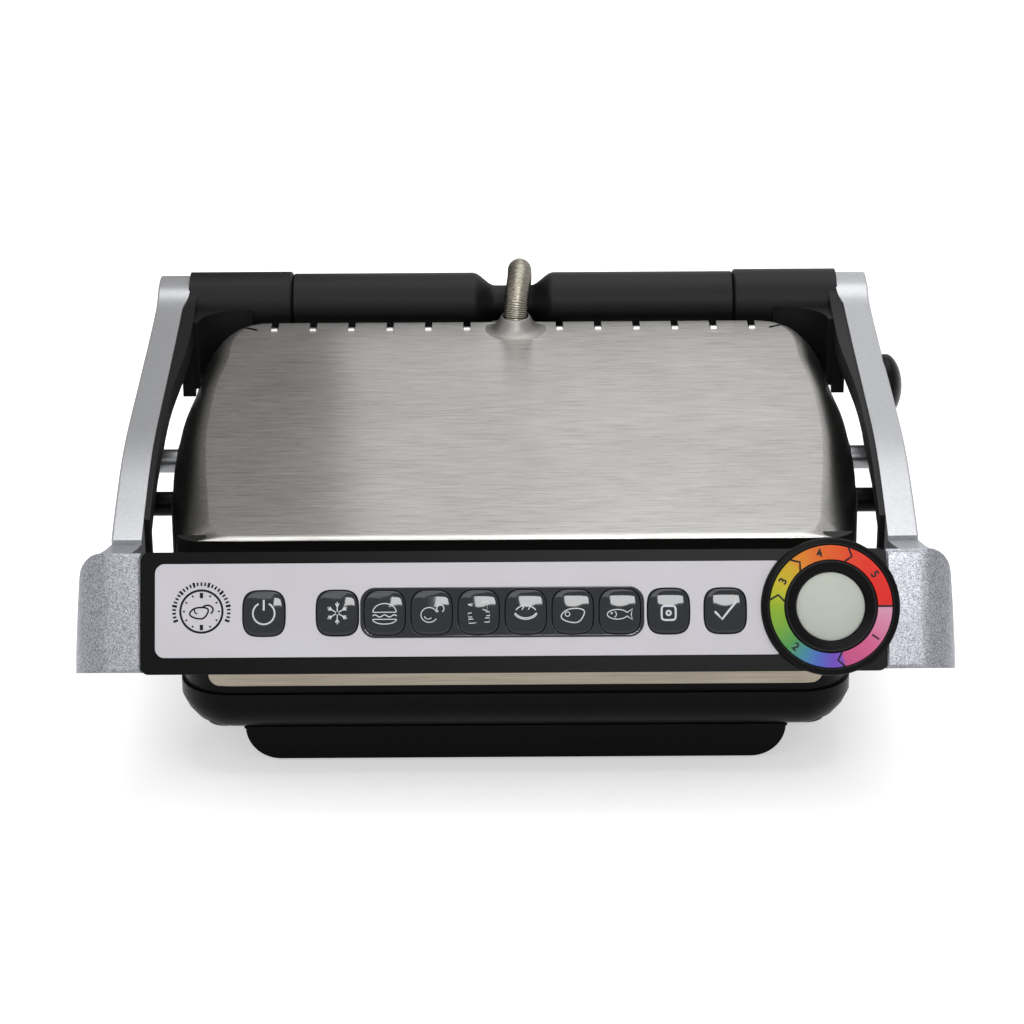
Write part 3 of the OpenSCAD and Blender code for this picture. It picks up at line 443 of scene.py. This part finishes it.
def coverPoint(x, u, rise):
    low = blendAt(cover["lowFront"], cover["lowSide"], (u - cover["lowFrom"]) / (cover["lowTo"] - cover["lowFrom"]))
    side, front, back = (cover[k + "Roll"] * (1 - max(0, 1 - rise ** cover[k + "Fullness"])
                                              ** (1 / cover[k + "Fullness"])) for k in ("side", "front", "back"))
    across = x * (1 + (cover["proud"] - side) / cover["halfWidth"])
    along = front - cover["proud"] + u * (cover["depth"] + 2 * cover["proud"] - front - back) / cover["depth"]
    return Vector((across, along, low + (cover["top"] - cover["crown"] - low) * rise))


def makeCover():
    half = [Vector((x, u, 0)) for x, u in coverOutline]
    right = smoothPath(half, 5)
    outline = [(p.x, p.y) for p in right] + [(-p.x, p.y) for p in right[-2:0:-1]]
    rises = [math.sin(math.pi / 2 * k / cover["levels"]) ** 1.1 for k in range(cover["levels"] + 1)]
    rings = [[coverPoint(x, u, rise) for x, u in outline] for rise in rises]
    middle = Vector((0, cover["depth"] / 2, 0))
    for share in (0.97, 0.9, 0.78, 0.62, 0.45, 0.28, 0.12, 0.03):
        rings.append([Vector((p.x * share, middle.y + (p.y - middle.y) * share,
                              cover["top"] - cover["crown"] * share * share)) for p in rings[cover["levels"]]])
    bm = addLoft(bmesh.new(), rings, onSlope, caps=False)
    bm.verts.ensure_lookup_table()
    bm.faces.new(bm.verts[-len(outline):])
    bmesh.ops.recalc_face_normals(bm, faces=bm.faces)
    if max(bm.faces, key=lambda f: f.calc_center_median().z).normal.z < 0:
        bmesh.ops.reverse_faces(bm, faces=bm.faces)
    sheet = linkMesh("headCover", bm)
    wall = sheet.modifiers.new("sheetThickness", "SOLIDIFY")
    wall.thickness, wall.offset = cover["thickness"] * mm, -1
    return applyModifiers(sheet)


vents = {"first": 22.7, "pitch": 18.85, "count": 6, "width": 3.6, "from": 217, "to": 236, "low": 28}
slits = {"from": (126, 217.2), "to": (133.6, 221.4), "width": 1.7}


def capsulePoints(a, b, width, w, arc=8):  # a long rounded slot seen from above
    a, b = Vector(a), Vector(b)
    turn = math.atan2(b.y - a.y, b.x - a.x)
    points = []
    for centre, start in ((b, -90), (a, 90)):
        for k in range(arc + 1):
            angle = turn + math.radians(start + 180 * k / arc)
            points.append((centre.x + width / 2 * math.cos(angle), centre.y + width / 2 * math.sin(angle), w))
    return points


def cutCover(sheet):
    bm = bmesh.new()
    for side in (-1, 1):
        for i in range(vents["count"]):
            x = side * (vents["first"] + vents["pitch"] * i)
            ends = (x, vents["from"] + vents["width"] / 2), (x, vents["to"])
            addLoft(bm, [capsulePoints(*ends, vents["width"], w) for w in (vents["low"], 42)], onSlope)
        ends = [(side * x, u) for x, u in (slits["from"], slits["to"])]
        addLoft(bm, [capsulePoints(*ends, slits["width"], w) for w in (20, 42)], onSlope)
    addLoft(bm, [circlePoints(conduit["radius"] + 1, 32, (bossX, bossY), z) for z in (124, 150)])
    bmesh.ops.recalc_face_normals(bm, faces=bm.faces)
    cutter = linkMesh("cutter", bm)
    cut = sheet.modifiers.new("openings", "BOOLEAN")
    cut.operation, cut.solver, cut.object = "DIFFERENCE", "EXACT", cutter
    applyModifiers(sheet)
    bpy.data.objects.remove(cutter)
    return sheet


# Half-sheared tongues at the notches' front ends, set out in two rows by Geometry Nodes

def tonguesTree():
    tree = bpy.data.node_groups.new("notchTongues", "GeometryNodeTree")
    for label, kind in (("Tongue", "NodeSocketObject"), ("Count", "NodeSocketInt"), ("First", "NodeSocketFloat"),
                        ("Pitch", "NodeSocketFloat"), ("Finish", "NodeSocketMaterial")):
        tree.interface.new_socket(label, in_out="INPUT", socket_type=kind)
    tree.interface.new_socket("Geometry", in_out="OUTPUT", socket_type="NodeSocketGeometry")
    given = addNode(tree, "NodeGroupInput").outputs
    shape = addNode(tree, "GeometryNodeObjectInfo", links={"Object": given["Tongue"]}).outputs["Geometry"]
    rows = addNode(tree, "GeometryNodeJoinGeometry")
    for side in (1, -1):
        first = addNode(tree, "ShaderNodeMath", {"operation": "MULTIPLY", 1: side}, {0: given["First"]})
        pitch = addNode(tree, "ShaderNodeMath", {"operation": "MULTIPLY", 1: side}, {0: given["Pitch"]})
        start = addNode(tree, "ShaderNodeCombineXYZ", links={"X": first.outputs[0]})
        step = addNode(tree, "ShaderNodeCombineXYZ", links={"X": pitch.outputs[0]})
        row = addNode(tree, "GeometryNodeMeshLine", links={"Count": given["Count"], "Start Location": start.outputs[0],
                                                           "Offset": step.outputs[0]})
        tree.links.new(row.outputs["Mesh"], rows.inputs["Geometry"])
    placed = addNode(tree, "GeometryNodeInstanceOnPoints", links={"Points": rows.outputs[0], "Instance": shape})
    real = addNode(tree, "GeometryNodeRealizeInstances", links={"Geometry": placed.outputs[0]})
    finished = addNode(tree, "GeometryNodeSetMaterial", links={"Geometry": real.outputs[0],
                                                               "Material": given["Finish"]})
    addNode(tree, "NodeGroupOutput", links={"Geometry": finished.outputs[0]})
    return tree


def nodesPiece(name, bm, tree, inputs):  # a plain mesh out of a Geometry Nodes tree
    piece = linkMesh(name, bm)
    modifier = piece.modifiers.new(tree.name, "NODES")
    modifier.node_group = tree
    for item in tree.interface.items_tree:
        if item.in_out == "INPUT" and item.name in inputs:
            modifier[item.identifier] = inputs[item.name]
    return applyModifiers(piece)


tongueProfile = [(215, 34.3), (215.7, 35), (216.7, 35.4), (218.2, 35.1), (220, 33.9), (221.2, 31.8)]


def makeTongues():
    bm = bmesh.new()
    width, thick = vents["width"] - 0.7, 0.5
    rings = []
    for u, w in tongueProfile:
        rings.append([(-width / 2, u, w), (width / 2, u, w), (width / 2, u, w - thick), (-width / 2, u, w - thick)])
    addLoft(bm, rings)
    bmesh.ops.recalc_face_normals(bm, faces=bm.faces)
    template = linkMesh("tongueShape", bm)
    piece = nodesPiece("ventTongues", bmesh.new(), tonguesTree(), {
        "Tongue": template, "Count": vents["count"], "First": vents["first"] * mm, "Pitch": vents["pitch"] * mm,
        "Finish": stainless})
    bpy.data.objects.remove(template)
    toSlope = Matrix.Scale(mm, 4) @ onSlope @ Matrix.Scale(1 / mm, 4)
    piece.data.transform(toSlope)
    return shadePiece(piece, stainless, "head")


# The spiral-wound conduit, and the cone pressed up round it

conduit = {"radius": 6, "rib": 0.85, "ribDepth": 0.06, "sides": 22, "perRib": 4}
bossX, bossY, bossZ, conduitX, dropY = 1.2, 95, 137.2, 3.4, 155.2
conduitRoute = [
    (bossX, bossY, bossZ - 12), (bossX, bossY, bossZ - 3), (bossX, bossY, bossZ + 7),
    (bossX + 0.6, bossY + 2.2, bossZ + 13.4), (bossX + 1.3, bossY + 8.5, bossZ + 17.8),
    (conduitX - 0.2, bossY + 20, bossZ + 19.4), (conduitX, 127, bossZ + 19.2), (conduitX, 140, bossZ + 16.6),
    (conduitX, 149, bossZ + 10.4), (conduitX, dropY - 1.2, bossZ + 1), (conduitX, dropY, bossZ - 9),
    (conduitX, dropY, 118), (conduitX, dropY, 111)]
coneProfile = [(16.5, 34.3), (14.8, 34.5), (13.2, 34.8), (11.6, 35.4), (10.2, 36.5), (9, 38.1), (8, 39.9),
               (7.2, 41.3), (6.8, 41.8), (6.5, 41.9), (6.3, 41.7), (6.3, 34.2)]


def conduitTree():
    tree = bpy.data.node_groups.new("woundConduit", "GeometryNodeTree")
    for label, kind in (("Route", "NodeSocketGeometry"), ("Radius", "NodeSocketFloat"),
                        ("Rib Pitch", "NodeSocketFloat"), ("Rib Depth", "NodeSocketFloat"),
                        ("Rings Per Rib", "NodeSocketInt"), ("Sides", "NodeSocketInt"),
                        ("Finish", "NodeSocketMaterial")):
        tree.interface.new_socket(label, in_out="INPUT", socket_type=kind)
    tree.interface.new_socket("Geometry", in_out="OUTPUT", socket_type="NodeSocketGeometry")
    given = addNode(tree, "NodeGroupInput").outputs
    line = addNode(tree, "GeometryNodeMeshToCurve", links={"Mesh": given["Route"]})
    step = addNode(tree, "ShaderNodeMath", {"operation": "DIVIDE"}, {0: given["Rib Pitch"], 1: given["Rings Per Rib"]})
    even = addNode(tree, "GeometryNodeResampleCurve", {"mode": "LENGTH"},
                   {"Curve": line.outputs[0], "Length": step.outputs[0]})
    along = addNode(tree, "GeometryNodeSplineParameter").outputs["Length"]
    turns = addNode(tree, "ShaderNodeMath", {"operation": "DIVIDE"}, {0: along, 1: given["Rib Pitch"]})
    wave = addNode(tree, "ShaderNodeMath", {"operation": "MULTIPLY", 1: math.pi}, {0: turns.outputs[0]})
    crest = addNode(tree, "ShaderNodeMath", {"operation": "SINE"}, {0: wave.outputs[0]})
    height = addNode(tree, "ShaderNodeMath", {"operation": "ABSOLUTE"}, {0: crest.outputs[0]})
    inward = addNode(tree, "ShaderNodeMath", {"operation": "SUBTRACT", 0: 1.0}, {1: height.outputs[0]})
    cut = addNode(tree, "ShaderNodeMath", {"operation": "MULTIPLY"}, {0: inward.outputs[0], 1: given["Rib Depth"]})
    scale = addNode(tree, "ShaderNodeMath", {"operation": "SUBTRACT", 0: 1.0}, {1: cut.outputs[0]})
    profile = addNode(tree, "GeometryNodeCurvePrimitiveCircle", links={"Resolution": given["Sides"],
                                                                      "Radius": given["Radius"]})
    tube = addNode(tree, "GeometryNodeCurveToMesh", {"Fill Caps": True}, {
        "Curve": even.outputs[0], "Profile Curve": profile.outputs[0], "Scale": scale.outputs[0]})
    real = addNode(tree, "GeometryNodeRealizeInstances", links={"Geometry": tube.outputs[0]})
    finished = addNode(tree, "GeometryNodeSetMaterial", links={"Geometry": real.outputs[0],
                                                               "Material": given["Finish"]})
    addNode(tree, "NodeGroupOutput", links={"Geometry": finished.outputs[0]})
    return tree


def makeConduit():
    bm = bmesh.new()
    verts = [bm.verts.new(p * mm) for p in smoothPath(conduitRoute, 8)]
    for a, b in zip(verts, verts[1:]):
        bm.edges.new((a, b))
    piece = nodesPiece("conduitSpiral", bm, conduitTree(), {
        "Radius": conduit["radius"] * mm, "Rib Pitch": conduit["rib"] * mm, "Rib Depth": conduit["ribDepth"],
        "Rings Per Rib": conduit["perRib"], "Sides": conduit["sides"], "Finish": conduitSteel})
    piece.data.shade_smooth()
    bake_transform(piece)
    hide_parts("conduit")


def makeCone():
    bossU = (onSlope.inverted() @ Vector((bossX, bossY, bossZ))).y
    bm = bmesh.new()
    addLoft(bm, [circlePoints(r, 48, (bossX, bossU), w) for r, w in coneProfile], loop=True)
    for vertex in bm.verts:  # the flare bends down with the sheet at the back edge
        spot = vertex.co / mm
        over = max(0, min(spot.y, 227) - 222)
        vertex.co = (onSlope @ Vector((spot.x, min(spot.y, 227), spot.z - 0.16 * over * over))) * mm
    # the cone's steel is painted darker than the cover's, as painted shade against the lamp's highlight on its front
    finishPiece("conduitCone", bm, coneShadedSteel, "head", ["conduit_boss"])


headCover = cutCover(makeCover())
shadePiece(headCover, stainless, "head", ["head_cover"], 42)
makeTongues()
makeConduit()
makeCone()
print("cover, tongues, cone and conduit made")


# Buttons: glossy domed caps, each with its own printed line sign

cap = {"width": 17.2, "height": 18.6, "v": 25, "power": 3.4, "points": 56, "stem": 2.6}
# Shares of the cap's size, and how far out of the panel each level stands
capProfile = [(1, -2.4), (1, 0.45), (0.989, 0.8), (0.961, 1.12), (0.911, 1.36), (0.833, 1.55), (0.7, 1.73),
              (0.522, 1.87), (0.3, 1.96), (0.111, 1.99)]
strip = {"x0": -63.8, "x1": 53, "height": 20.4, "radius": 6, "lift": 1.0}
programmeX = [-53.9 + 19.4 * i for i in range(6)]
buttonX = {"button_power": -103.7, "button_frozen": -73.4, "button_manual": 63.2, "button_confirm": 86.6,
           **{f"button_{i + 1}": x for i, x in enumerate(programmeX)}}


def capPoints(x, z, share=1, grow=0):
    points = []
    for i in range(cap["points"]):
        c, s = math.cos(2 * math.pi * i / cap["points"]), math.sin(2 * math.pi * i / cap["points"])
        across, up = (share * cap[size] / 2 + grow for size in ("width", "height"))
        points.append((x + across * math.copysign(abs(c) ** (2 / cap["power"]), c),
                       cap["v"] + up * math.copysign(abs(s) ** (2 / cap["power"]), s), z))
    return points


def domeHeight(a, b):  # of the cap's top over the panel, at a place measured from the cap's middle
    power = cap["power"]
    reach = (abs(2 * a / cap["width"]) ** power + abs(2 * b / cap["height"]) ** power) ** (1 / power)
    for (wide, low), (narrow, high) in zip(capProfile[1:], capProfile[2:]):
        if reach >= narrow:
            return low + (high - low) * min(1, max(0, (wide - reach) / (wide - narrow)))
    return capProfile[-1][1]


def addInk(bm, path, x, v, width=0.5, closed=False, heightAt=domeHeight):  # a printed line on the surface
    points = [Vector(p) for p in path]
    rings = []
    for i, p in enumerate(points):
        before = points[i - 1] if i or closed else p
        after = points[(i + 1) % len(points)] if i + 1 < len(points) or closed else p
        along = (after - before).normalized()
        side = Vector((-along.y, along.x)) * width / 2
        ring = []
        for share, lift in ((-1, -0.05), (-0.8, 0.07), (0.8, 0.07), (1, -0.05)):
            q = p + side * share
            ring.append((x + q.x, v + q.y, heightAt(q.x, q.y) + lift))
        rings.append(ring)
    addLoft(bm, rings, onPanel, loop=closed)


def arcPath(radius, start, end, at=(0, 0), squash=1, steps=20):
    return [(at[0] + radius * math.cos(math.radians(start + (end - start) * k / steps)),
             at[1] + squash * radius * math.sin(math.radians(start + (end - start) * k / steps)))
            for k in range(steps + 1)]


def wavePath(x0, x1, y, height, waves, steps=24):
    return [(x0 + (x1 - x0) * k / steps, y + height * math.sin(2 * math.pi * waves * k / steps))
            for k in range(steps + 1)]


snowArms = []
for k in range(6):
    c, s = math.cos(math.radians(60 * k + 30)), math.sin(math.radians(60 * k + 30))
    snowArms.append([(0.6 * c, 0.6 * s), (4.6 * c, 4.6 * s)])
    for turn in (-1, 1):
        tipC, tipS = math.cos(math.radians(60 * k + 30 + 30 * turn)), math.sin(math.radians(60 * k + 30 + 30 * turn))
        snowArms.append([(2.6 * c, 2.6 * s), (2.6 * c + 1.5 * tipC, 2.6 * s + 1.5 * tipS)])
fishBody = [(4.2 * math.cos(math.radians(a)) - 1, 2 * math.sin(math.radians(a)) - 1.2) for a in range(20, 341, 16)]
steakBody = [(5 * math.cos(math.radians(a)) * (1 - 0.16 * math.cos(math.radians(2 * a + 60))),
              2.9 * math.sin(math.radians(a)) * (1 + 0.22 * math.cos(math.radians(a + 40))) - 1.2)
             for a in range(0, 360, 15)]
squareLine = [(2.9 * math.copysign(abs(math.cos(math.radians(a))) ** 0.4, math.cos(math.radians(a))),
               2.9 * math.copysign(abs(math.sin(math.radians(a))) ** 0.4, math.sin(math.radians(a))) - 0.8)
              for a in range(0, 360, 10)]
# Each sign is a list of strokes: the points, the line's width in mm, and whether it closes
signs = {
    "button_power": [(arcPath(4.5, 118, 422), 0.75, False), ([(0, 1.2), (0, 3.4), (0, 5.6)], 0.85, False)],
    "button_frozen": [(arm, 0.5, False) for arm in snowArms],
    "button_1": [(arcPath(4.8, 0, 180, (0, 0.2), 0.75), 0.45, False), ([(-4.8, 0.2), (0, 0.2), (4.8, 0.2)], 0.45, False),
                 (wavePath(-5, 5, -1.3, 0.45, 2.5), 0.5, False), ([(-4.9, -2.7), (0, -2.7), (4.9, -2.7)], 0.45, False),
                 (arcPath(4.9, 180, 360, (0, -2.7), 0.4), 0.45, False)],
    "button_2": [(arcPath(3.4, 20, 330, (-1, -1), 0.9), 0.45, False), (arcPath(1.5, -60, 240, (3.6, 1.6)), 0.45, False),
                 (arcPath(1.7, 200, 320, (-1.4, -1)), 0.4, False)],
    "button_3": [([(-4.4, 3.2), (4, 4.4), (3.4, 0.6), (-4.4, 3.2)], 0.45, False),
                 ([(-4.4, -0.4), (4.4, 0.2), (4.6, -1.4), (-4.2, -2)], 0.45, True),
                 ([(-4.2, -2.9), (4.4, -2.3), (4.4, -4), (-4, -4.6)], 0.45, True)],
    "button_4": [(arcPath(5, 35, 145, (0, -1.8), 0.9), 0.5, False), (arcPath(5.4, 215, 325, (0, 2.4), 0.9), 0.5, False),
                 ([(-1.6, 0.9), (-0.8, 2.2)], 0.45, False), ([(1, 0.9), (1.8, 2.2)], 0.45, False),
                 (arcPath(4.9, 200, 340, (0, 0.4), 0.7), 0.45, False)],
    "button_5": [(steakBody, 0.5, True), (arcPath(0.95, 0, 342, (-2.2, -1)), 0.4, True)],
    "button_6": [(fishBody, 0.45, False), ([(2.9, -0.5), (5.2, 1), (4.6, -1.2), (5.2, -3.4), (2.9, -1.9)], 0.45, False),
                 (arcPath(0.35, 0, 300, (-3.4, -0.7), 1, 6), 0.35, True), (arcPath(1.2, -70, 70, (-2.6, -1.2)), 0.4, False)],
    "button_manual": [(squareLine, 0.9, True), (arcPath(0.9, 0, 330, (0, -0.8), 1, 11), 0.9, True)],
    "button_confirm": [([(-4.4, -0.3), (-3, -1.7), (-1.4, -3.5), (1.4, 0), (4.8, 4)], 0.95, False)],
}


def makeButton(node):
    bm = bmesh.new()
    x, v = buttonX[node], cap["v"]
    stem = [circlePoints(cap["stem"], cap["points"], (x, v), z) for z in (-4.94, -2.4)]
    addLoft(bm, stem + [capPoints(x, z, share) for share, z in capProfile], onPanel)
    finishPiece(plainName(node), bm, glossAbs, node, [node], 50)
    bm = bmesh.new()
    for path, width, closed in signs[node]:
        addInk(bm, path, x, v, width, closed)
    finishPiece(plainName(node) + "Sign", bm, whiteInk, node, sharpAngle=60)


for node in buttonX:
    makeButton(node)


def flatPiece(name, outlines, place, thickness, edge):  # a sheet with holes, its edges rounded
    curve = bpy.data.curves.new(name, "CURVE")
    curve.dimensions, curve.fill_mode = "2D", "BOTH"
    curve.extrude, curve.bevel_depth, curve.bevel_resolution = (thickness / 2 - edge) * mm, edge * mm, 2
    for outline in outlines:
        spline = curve.splines.new("POLY")
        spline.points.add(len(outline) - 1)
        for point, (x, v, *rest) in zip(spline.points, outline):
            point.co = (x * mm, v * mm, 0, 1)
        spline.use_cyclic_u = True
    shape = bpy.data.objects.new(name, curve)
    bpy.context.scene.collection.objects.link(shape)
    mesh = bpy.data.meshes.new_from_object(shape.evaluated_get(bpy.context.evaluated_depsgraph_get()))
    bpy.data.objects.remove(shape)
    mesh.transform(Matrix.Scale(mm, 4) @ place @ Matrix.Scale(1 / mm, 4))
    bm = bmesh.new()
    bm.from_mesh(mesh)
    return bm


def roundedRectPoints(x0, x1, y0, y1, radius, arc=8):
    points = []
    for cx, cy, start in ((x1 - radius, y1 - radius, 0), (x0 + radius, y1 - radius, 90),
                          (x0 + radius, y0 + radius, 180), (x1 - radius, y0 + radius, 270)):
        for k in range(arc + 1):
            a = math.radians(start + 90 * k / arc)
            points.append((cx + radius * math.cos(a), cy + radius * math.sin(a)))
    return points


stripOutline = roundedRectPoints(strip["x0"], strip["x1"], cap["v"] - strip["height"] / 2,
                                 cap["v"] + strip["height"] / 2, strip["radius"])
stripHoles = [[p[:2] for p in capPoints(x, 0, grow=0.3)] for x in programmeX]
stripPlace = onPanel @ Matrix.Translation((0, 0, strip["lift"] / 2 + 0.02))
finishPiece("buttonSurround", flatPiece("buttonSurround", [stripOutline] + stripHoles, stripPlace, strip["lift"], 0.2),
            glossAbs, "arms")
print("buttons made")


# Printing on the panel: a gauge sign with a ring of ticks, and the display's marks

gauge = {"x": -129.5, "v": 26, "radius": 8.7, "ticks": 12, "arcRadius": 11.3}
filmTop = 0.81


def filmHeight(a, b):
    return filmTop


def makeGauge():
    bm = bmesh.new()
    x, v, r = gauge["x"], gauge["v"], gauge["radius"]
    addInk(bm, arcPath(r, 0, 352, steps=44), x, v, 1, True, filmHeight)
    for k in range(gauge["ticks"]):
        a = math.radians(30 * k)
        inner, outer, wide = (r - 3.2, r - 1, 1.5) if k in (3, 9) else (r - 1.9, r - 1.1, 0.7)
        addInk(bm, [(inner * math.cos(a), inner * math.sin(a)), (outer * math.cos(a), outer * math.sin(a))],
               x, v, wide, False, filmHeight)
    for k in range(29):
        a = math.radians(-20 + 220 * k / 28)
        reach = 1.5 if k % 4 else 2
        r0, r1 = gauge["arcRadius"] - reach / 2, gauge["arcRadius"] + reach / 2
        addInk(bm, [(r0 * math.cos(a), r0 * math.sin(a)), (r1 * math.cos(a), r1 * math.sin(a))], x, v,
               0.8 if k % 4 else 1.1, False, filmHeight)
    addInk(bm, [(p[0] * 0.8 - 1, p[1] * 0.8 + 0.6) for p in steakBody], x, v, 0.75, True, filmHeight)
    addInk(bm, arcPath(2.3, -55, 150, (2.5, 0.7), 0.8), x, v, 0.75, False, filmHeight)
    addInk(bm, arcPath(1.5, 150, 260, (-1.4, 0.3), 0.8), x, v, 0.6, False, filmHeight)
    finishPiece("gaugeSign", bm, blackInk, "arms", sharpAngle=60)


stageBreaks = {"angles": (72.9, 130.7, 173.5, 282.5), "point": 6}
stageMiddles = (325, 228, 152, 102, 36)  # where each stage's number stands, in degrees from 3 o'clock
ringTop = 3.13


def ringHeight(a, b):
    return ringTop


bezelProfile = [(14.6, 0.05), (28.5, 0.05), (28.5, 1.5), (28.3, 2.1), (27.8, 2.55), (26.3, 3.03), (25.9, 3.08),
                (25.6, 2.95), (25.4, 2.2), (19.2, 2.2), (19.0, 2.95), (18.7, 3.08), (18.2, 3.08), (17.6, 2.95),
                (14.7, 1.5)]


def makeBezel():
    bm = bmesh.new()
    addLoft(bm, [circlePoints(r, 144, (ring["x"], ring["v"]), z) for r, z in bezelProfile], onPanel, loop=True)
    finishPiece("ringBezel", bm, satinFrame, "arms", ["ring_bezel"])


def makeRingMarks():
    bm = bmesh.new()
    middle = (ring["inner"] + ring["outer"]) / 2
    for angle in stageBreaks["angles"]:
        path = []
        for radius, turn in ((ring["inner"], 0), (middle, -stageBreaks["point"]), (ring["outer"], 0)):
            a = math.radians(angle + turn)
            path.append((radius * math.cos(a), radius * math.sin(a)))
        addInk(bm, path, ring["x"], ring["v"], 0.9, False, ringHeight)
    addInk(bm, [(ring["inner"], 0), (ring["outer"], 0)], ring["x"], ring["v"], 0.9, False, ringHeight)
    finishPiece("ringMarks", bm, blackInk, "arms", sharpAngle=60)


def makeNumber(label, angle):
    text = bpy.data.curves.new(f"number{label}", "FONT")
    text.body, text.size, text.extrude, text.offset = label, 4.6 * mm, 0.03 * mm, 0.14 * mm
    text.align_x, text.align_y = "CENTER", "CENTER"
    shape = bpy.data.objects.new(text.name, text)
    bpy.context.scene.collection.objects.link(shape)
    mesh = bpy.data.meshes.new_from_object(shape.evaluated_get(bpy.context.evaluated_depsgraph_get()))
    bpy.data.objects.remove(shape)
    radius = (ring["inner"] + ring["outer"]) / 2
    a = math.radians(angle)
    spin = Matrix.Rotation(a + math.radians(-90 if angle < 180 else 90), 4, "Z")
    place = onPanel @ Matrix.Translation((ring["x"] + radius * math.cos(a), ring["v"] + radius * math.sin(a), ringTop))
    mesh.transform(Matrix.Scale(mm, 4) @ place @ spin @ Matrix.Scale(1 / mm, 4))
    bm = bmesh.new()
    bm.from_mesh(mesh)
    finishPiece(f"ringNumber{label}", bm, blackInk, "arms", sharpAngle=60)


makeGauge()
makeBezel()
makeRingMarks()
for i, angle in enumerate(stageMiddles):
    makeNumber(str(i + 1), angle)
print("panel printed")


# Every CAD node that still shows gets its finish

for node, piece in frame["nodes"].items():
    if not piece.hide_render:
        piece.data.materials.clear()
        piece.data.materials.append(finishOf[slotOf[node]])
print("remaining nodes:", [n for n, o in frame["nodes"].items() if not o.hide_render])


# Camera, fitted to the photograph's frame of 1024 by 1024

view = {"place": (-1.12, -1212.5, 530), "down": 20.5, "roll": -0.35, "lens": 97.84, "sensor": 36}
lensData = bpy.data.cameras.new("camera")
lensData.lens, lensData.sensor_width, lensData.clip_end = view["lens"], view["sensor"], 50
camera = bpy.data.objects.new("camera", lensData)
camera.matrix_world = (Matrix.Translation(Vector(view["place"]) * mm)
                       @ Matrix.Rotation(math.radians(90 - view["down"]), 4, "X")
                       @ Matrix.Rotation(math.radians(view["roll"]), 4, "Z"))
bpy.context.scene.collection.objects.link(camera)
bpy.context.scene.camera = camera
bpy.context.scene.view_settings.view_transform = "Standard"


# Floor, white surroundings and soft lamps

def makeFloor():
    bm = bmesh.new()
    bmesh.ops.create_grid(bm, x_segments=1, y_segments=1, size=14)
    floor = linkMesh("floor", bm)
    material = bpy.data.materials.new("paleFloor")
    material.use_nodes = True
    tree = material.node_tree
    tree.nodes.clear()
    paper = addNode(tree, "ShaderNodeBsdfDiffuse", {"Color": linearColour("#e6e6e8")})
    glow = addNode(tree, "ShaderNodeEmission", {"Color": (1, 1, 1, 1)})
    seen = addNode(tree, "ShaderNodeLightPath")
    either = addNode(tree, "ShaderNodeMath", {"operation": "MAXIMUM"}, {0: seen.outputs["Is Camera Ray"],
                                                                        1: seen.outputs["Is Glossy Ray"]})
    lift = addNode(tree, "ShaderNodeMath", {"operation": "MULTIPLY", 1: 0.52}, {0: either.outputs[0]})
    tree.links.new(lift.outputs[0], glow.inputs["Strength"])
    both = addNode(tree, "ShaderNodeAddShader")
    tree.links.new(paper.outputs[0], both.inputs[0])
    tree.links.new(glow.outputs[0], both.inputs[1])
    addNode(tree, "ShaderNodeOutputMaterial", links={"Surface": both.outputs[0]})
    floor.data.materials.append(material)


def makeWorld():
    world = bpy.data.worlds.new("studio")
    bpy.context.scene.world = world
    world.use_nodes = True
    tree = world.node_tree
    tree.nodes.clear()
    seen = addNode(tree, "ShaderNodeLightPath")
    direct = addNode(tree, "ShaderNodeMath", {"operation": "MAXIMUM"}, {0: seen.outputs["Is Camera Ray"],
                                                                        1: seen.outputs["Is Transmission Ray"]})
    either = addNode(tree, "ShaderNodeMath", {"operation": "MAXIMUM"}, {0: direct.outputs[0],
                                                                        1: seen.outputs["Is Glossy Ray"]})
    level = addNode(tree, "ShaderNodeMapRange", {"To Min": 0.5, "To Max": 1.0}, {"Value": either.outputs[0]})
    back = addNode(tree, "ShaderNodeBackground", {"Color": (1, 1, 1, 1)}, {"Strength": level.outputs["Result"]})
    addNode(tree, "ShaderNodeOutputWorld", links={"Surface": back.outputs[0]})


def softbox(name, place, aim, size, watts):
    lamp = bpy.data.lights.new(name, "AREA")
    lamp.shape, lamp.size, lamp.size_y, lamp.energy = "RECTANGLE", size[0], size[1], watts
    holder = bpy.data.objects.new(name, lamp)
    holder.location = place
    holder.rotation_mode = "QUATERNION"
    holder.rotation_quaternion = (Vector(aim) - Vector(place)).to_track_quat("-Z", "Y")
    bpy.context.scene.collection.objects.link(holder)


def reflectedCard(name, corners, colour, strength):  # a card that only reflections see
    bm = bmesh.new()
    bm.faces.new([bm.verts.new(Vector(c) * mm) for c in corners])
    card = linkMesh(name, bm)
    material = bpy.data.materials.new(name)
    material.use_nodes = True
    tree = material.node_tree
    tree.nodes.clear()
    glow = addNode(tree, "ShaderNodeEmission", {"Color": linearColour(colour), "Strength": strength})
    addNode(tree, "ShaderNodeOutputMaterial", links={"Surface": glow.outputs[0]})
    card.data.materials.append(material)
    card.visible_camera = card.visible_diffuse = card.visible_shadow = card.visible_transmission = False


makeFloor()
makeWorld()
softbox("keyLamp", (-0.5, -1.1, 1.6), (0, 0, 0.05), (1.1, 1.1), 9)
softbox("topLamp", (0.2, 0.2, 1.7), (0, 0, 0), (1.4, 1.4), 19)
reflectedCard("coverFlag", [(-1400, 420, 90), (-110, 420, 90), (-110, 420, 760), (-1400, 420, 760)], "#787672", 1)
reflectedCard("windowCard", [(-60, -1500, 820), (600, -1500, 820), (600, -1440, 1150), (-60, -1440, 1150)],
              "#ffffff", 18)
print("stage made")
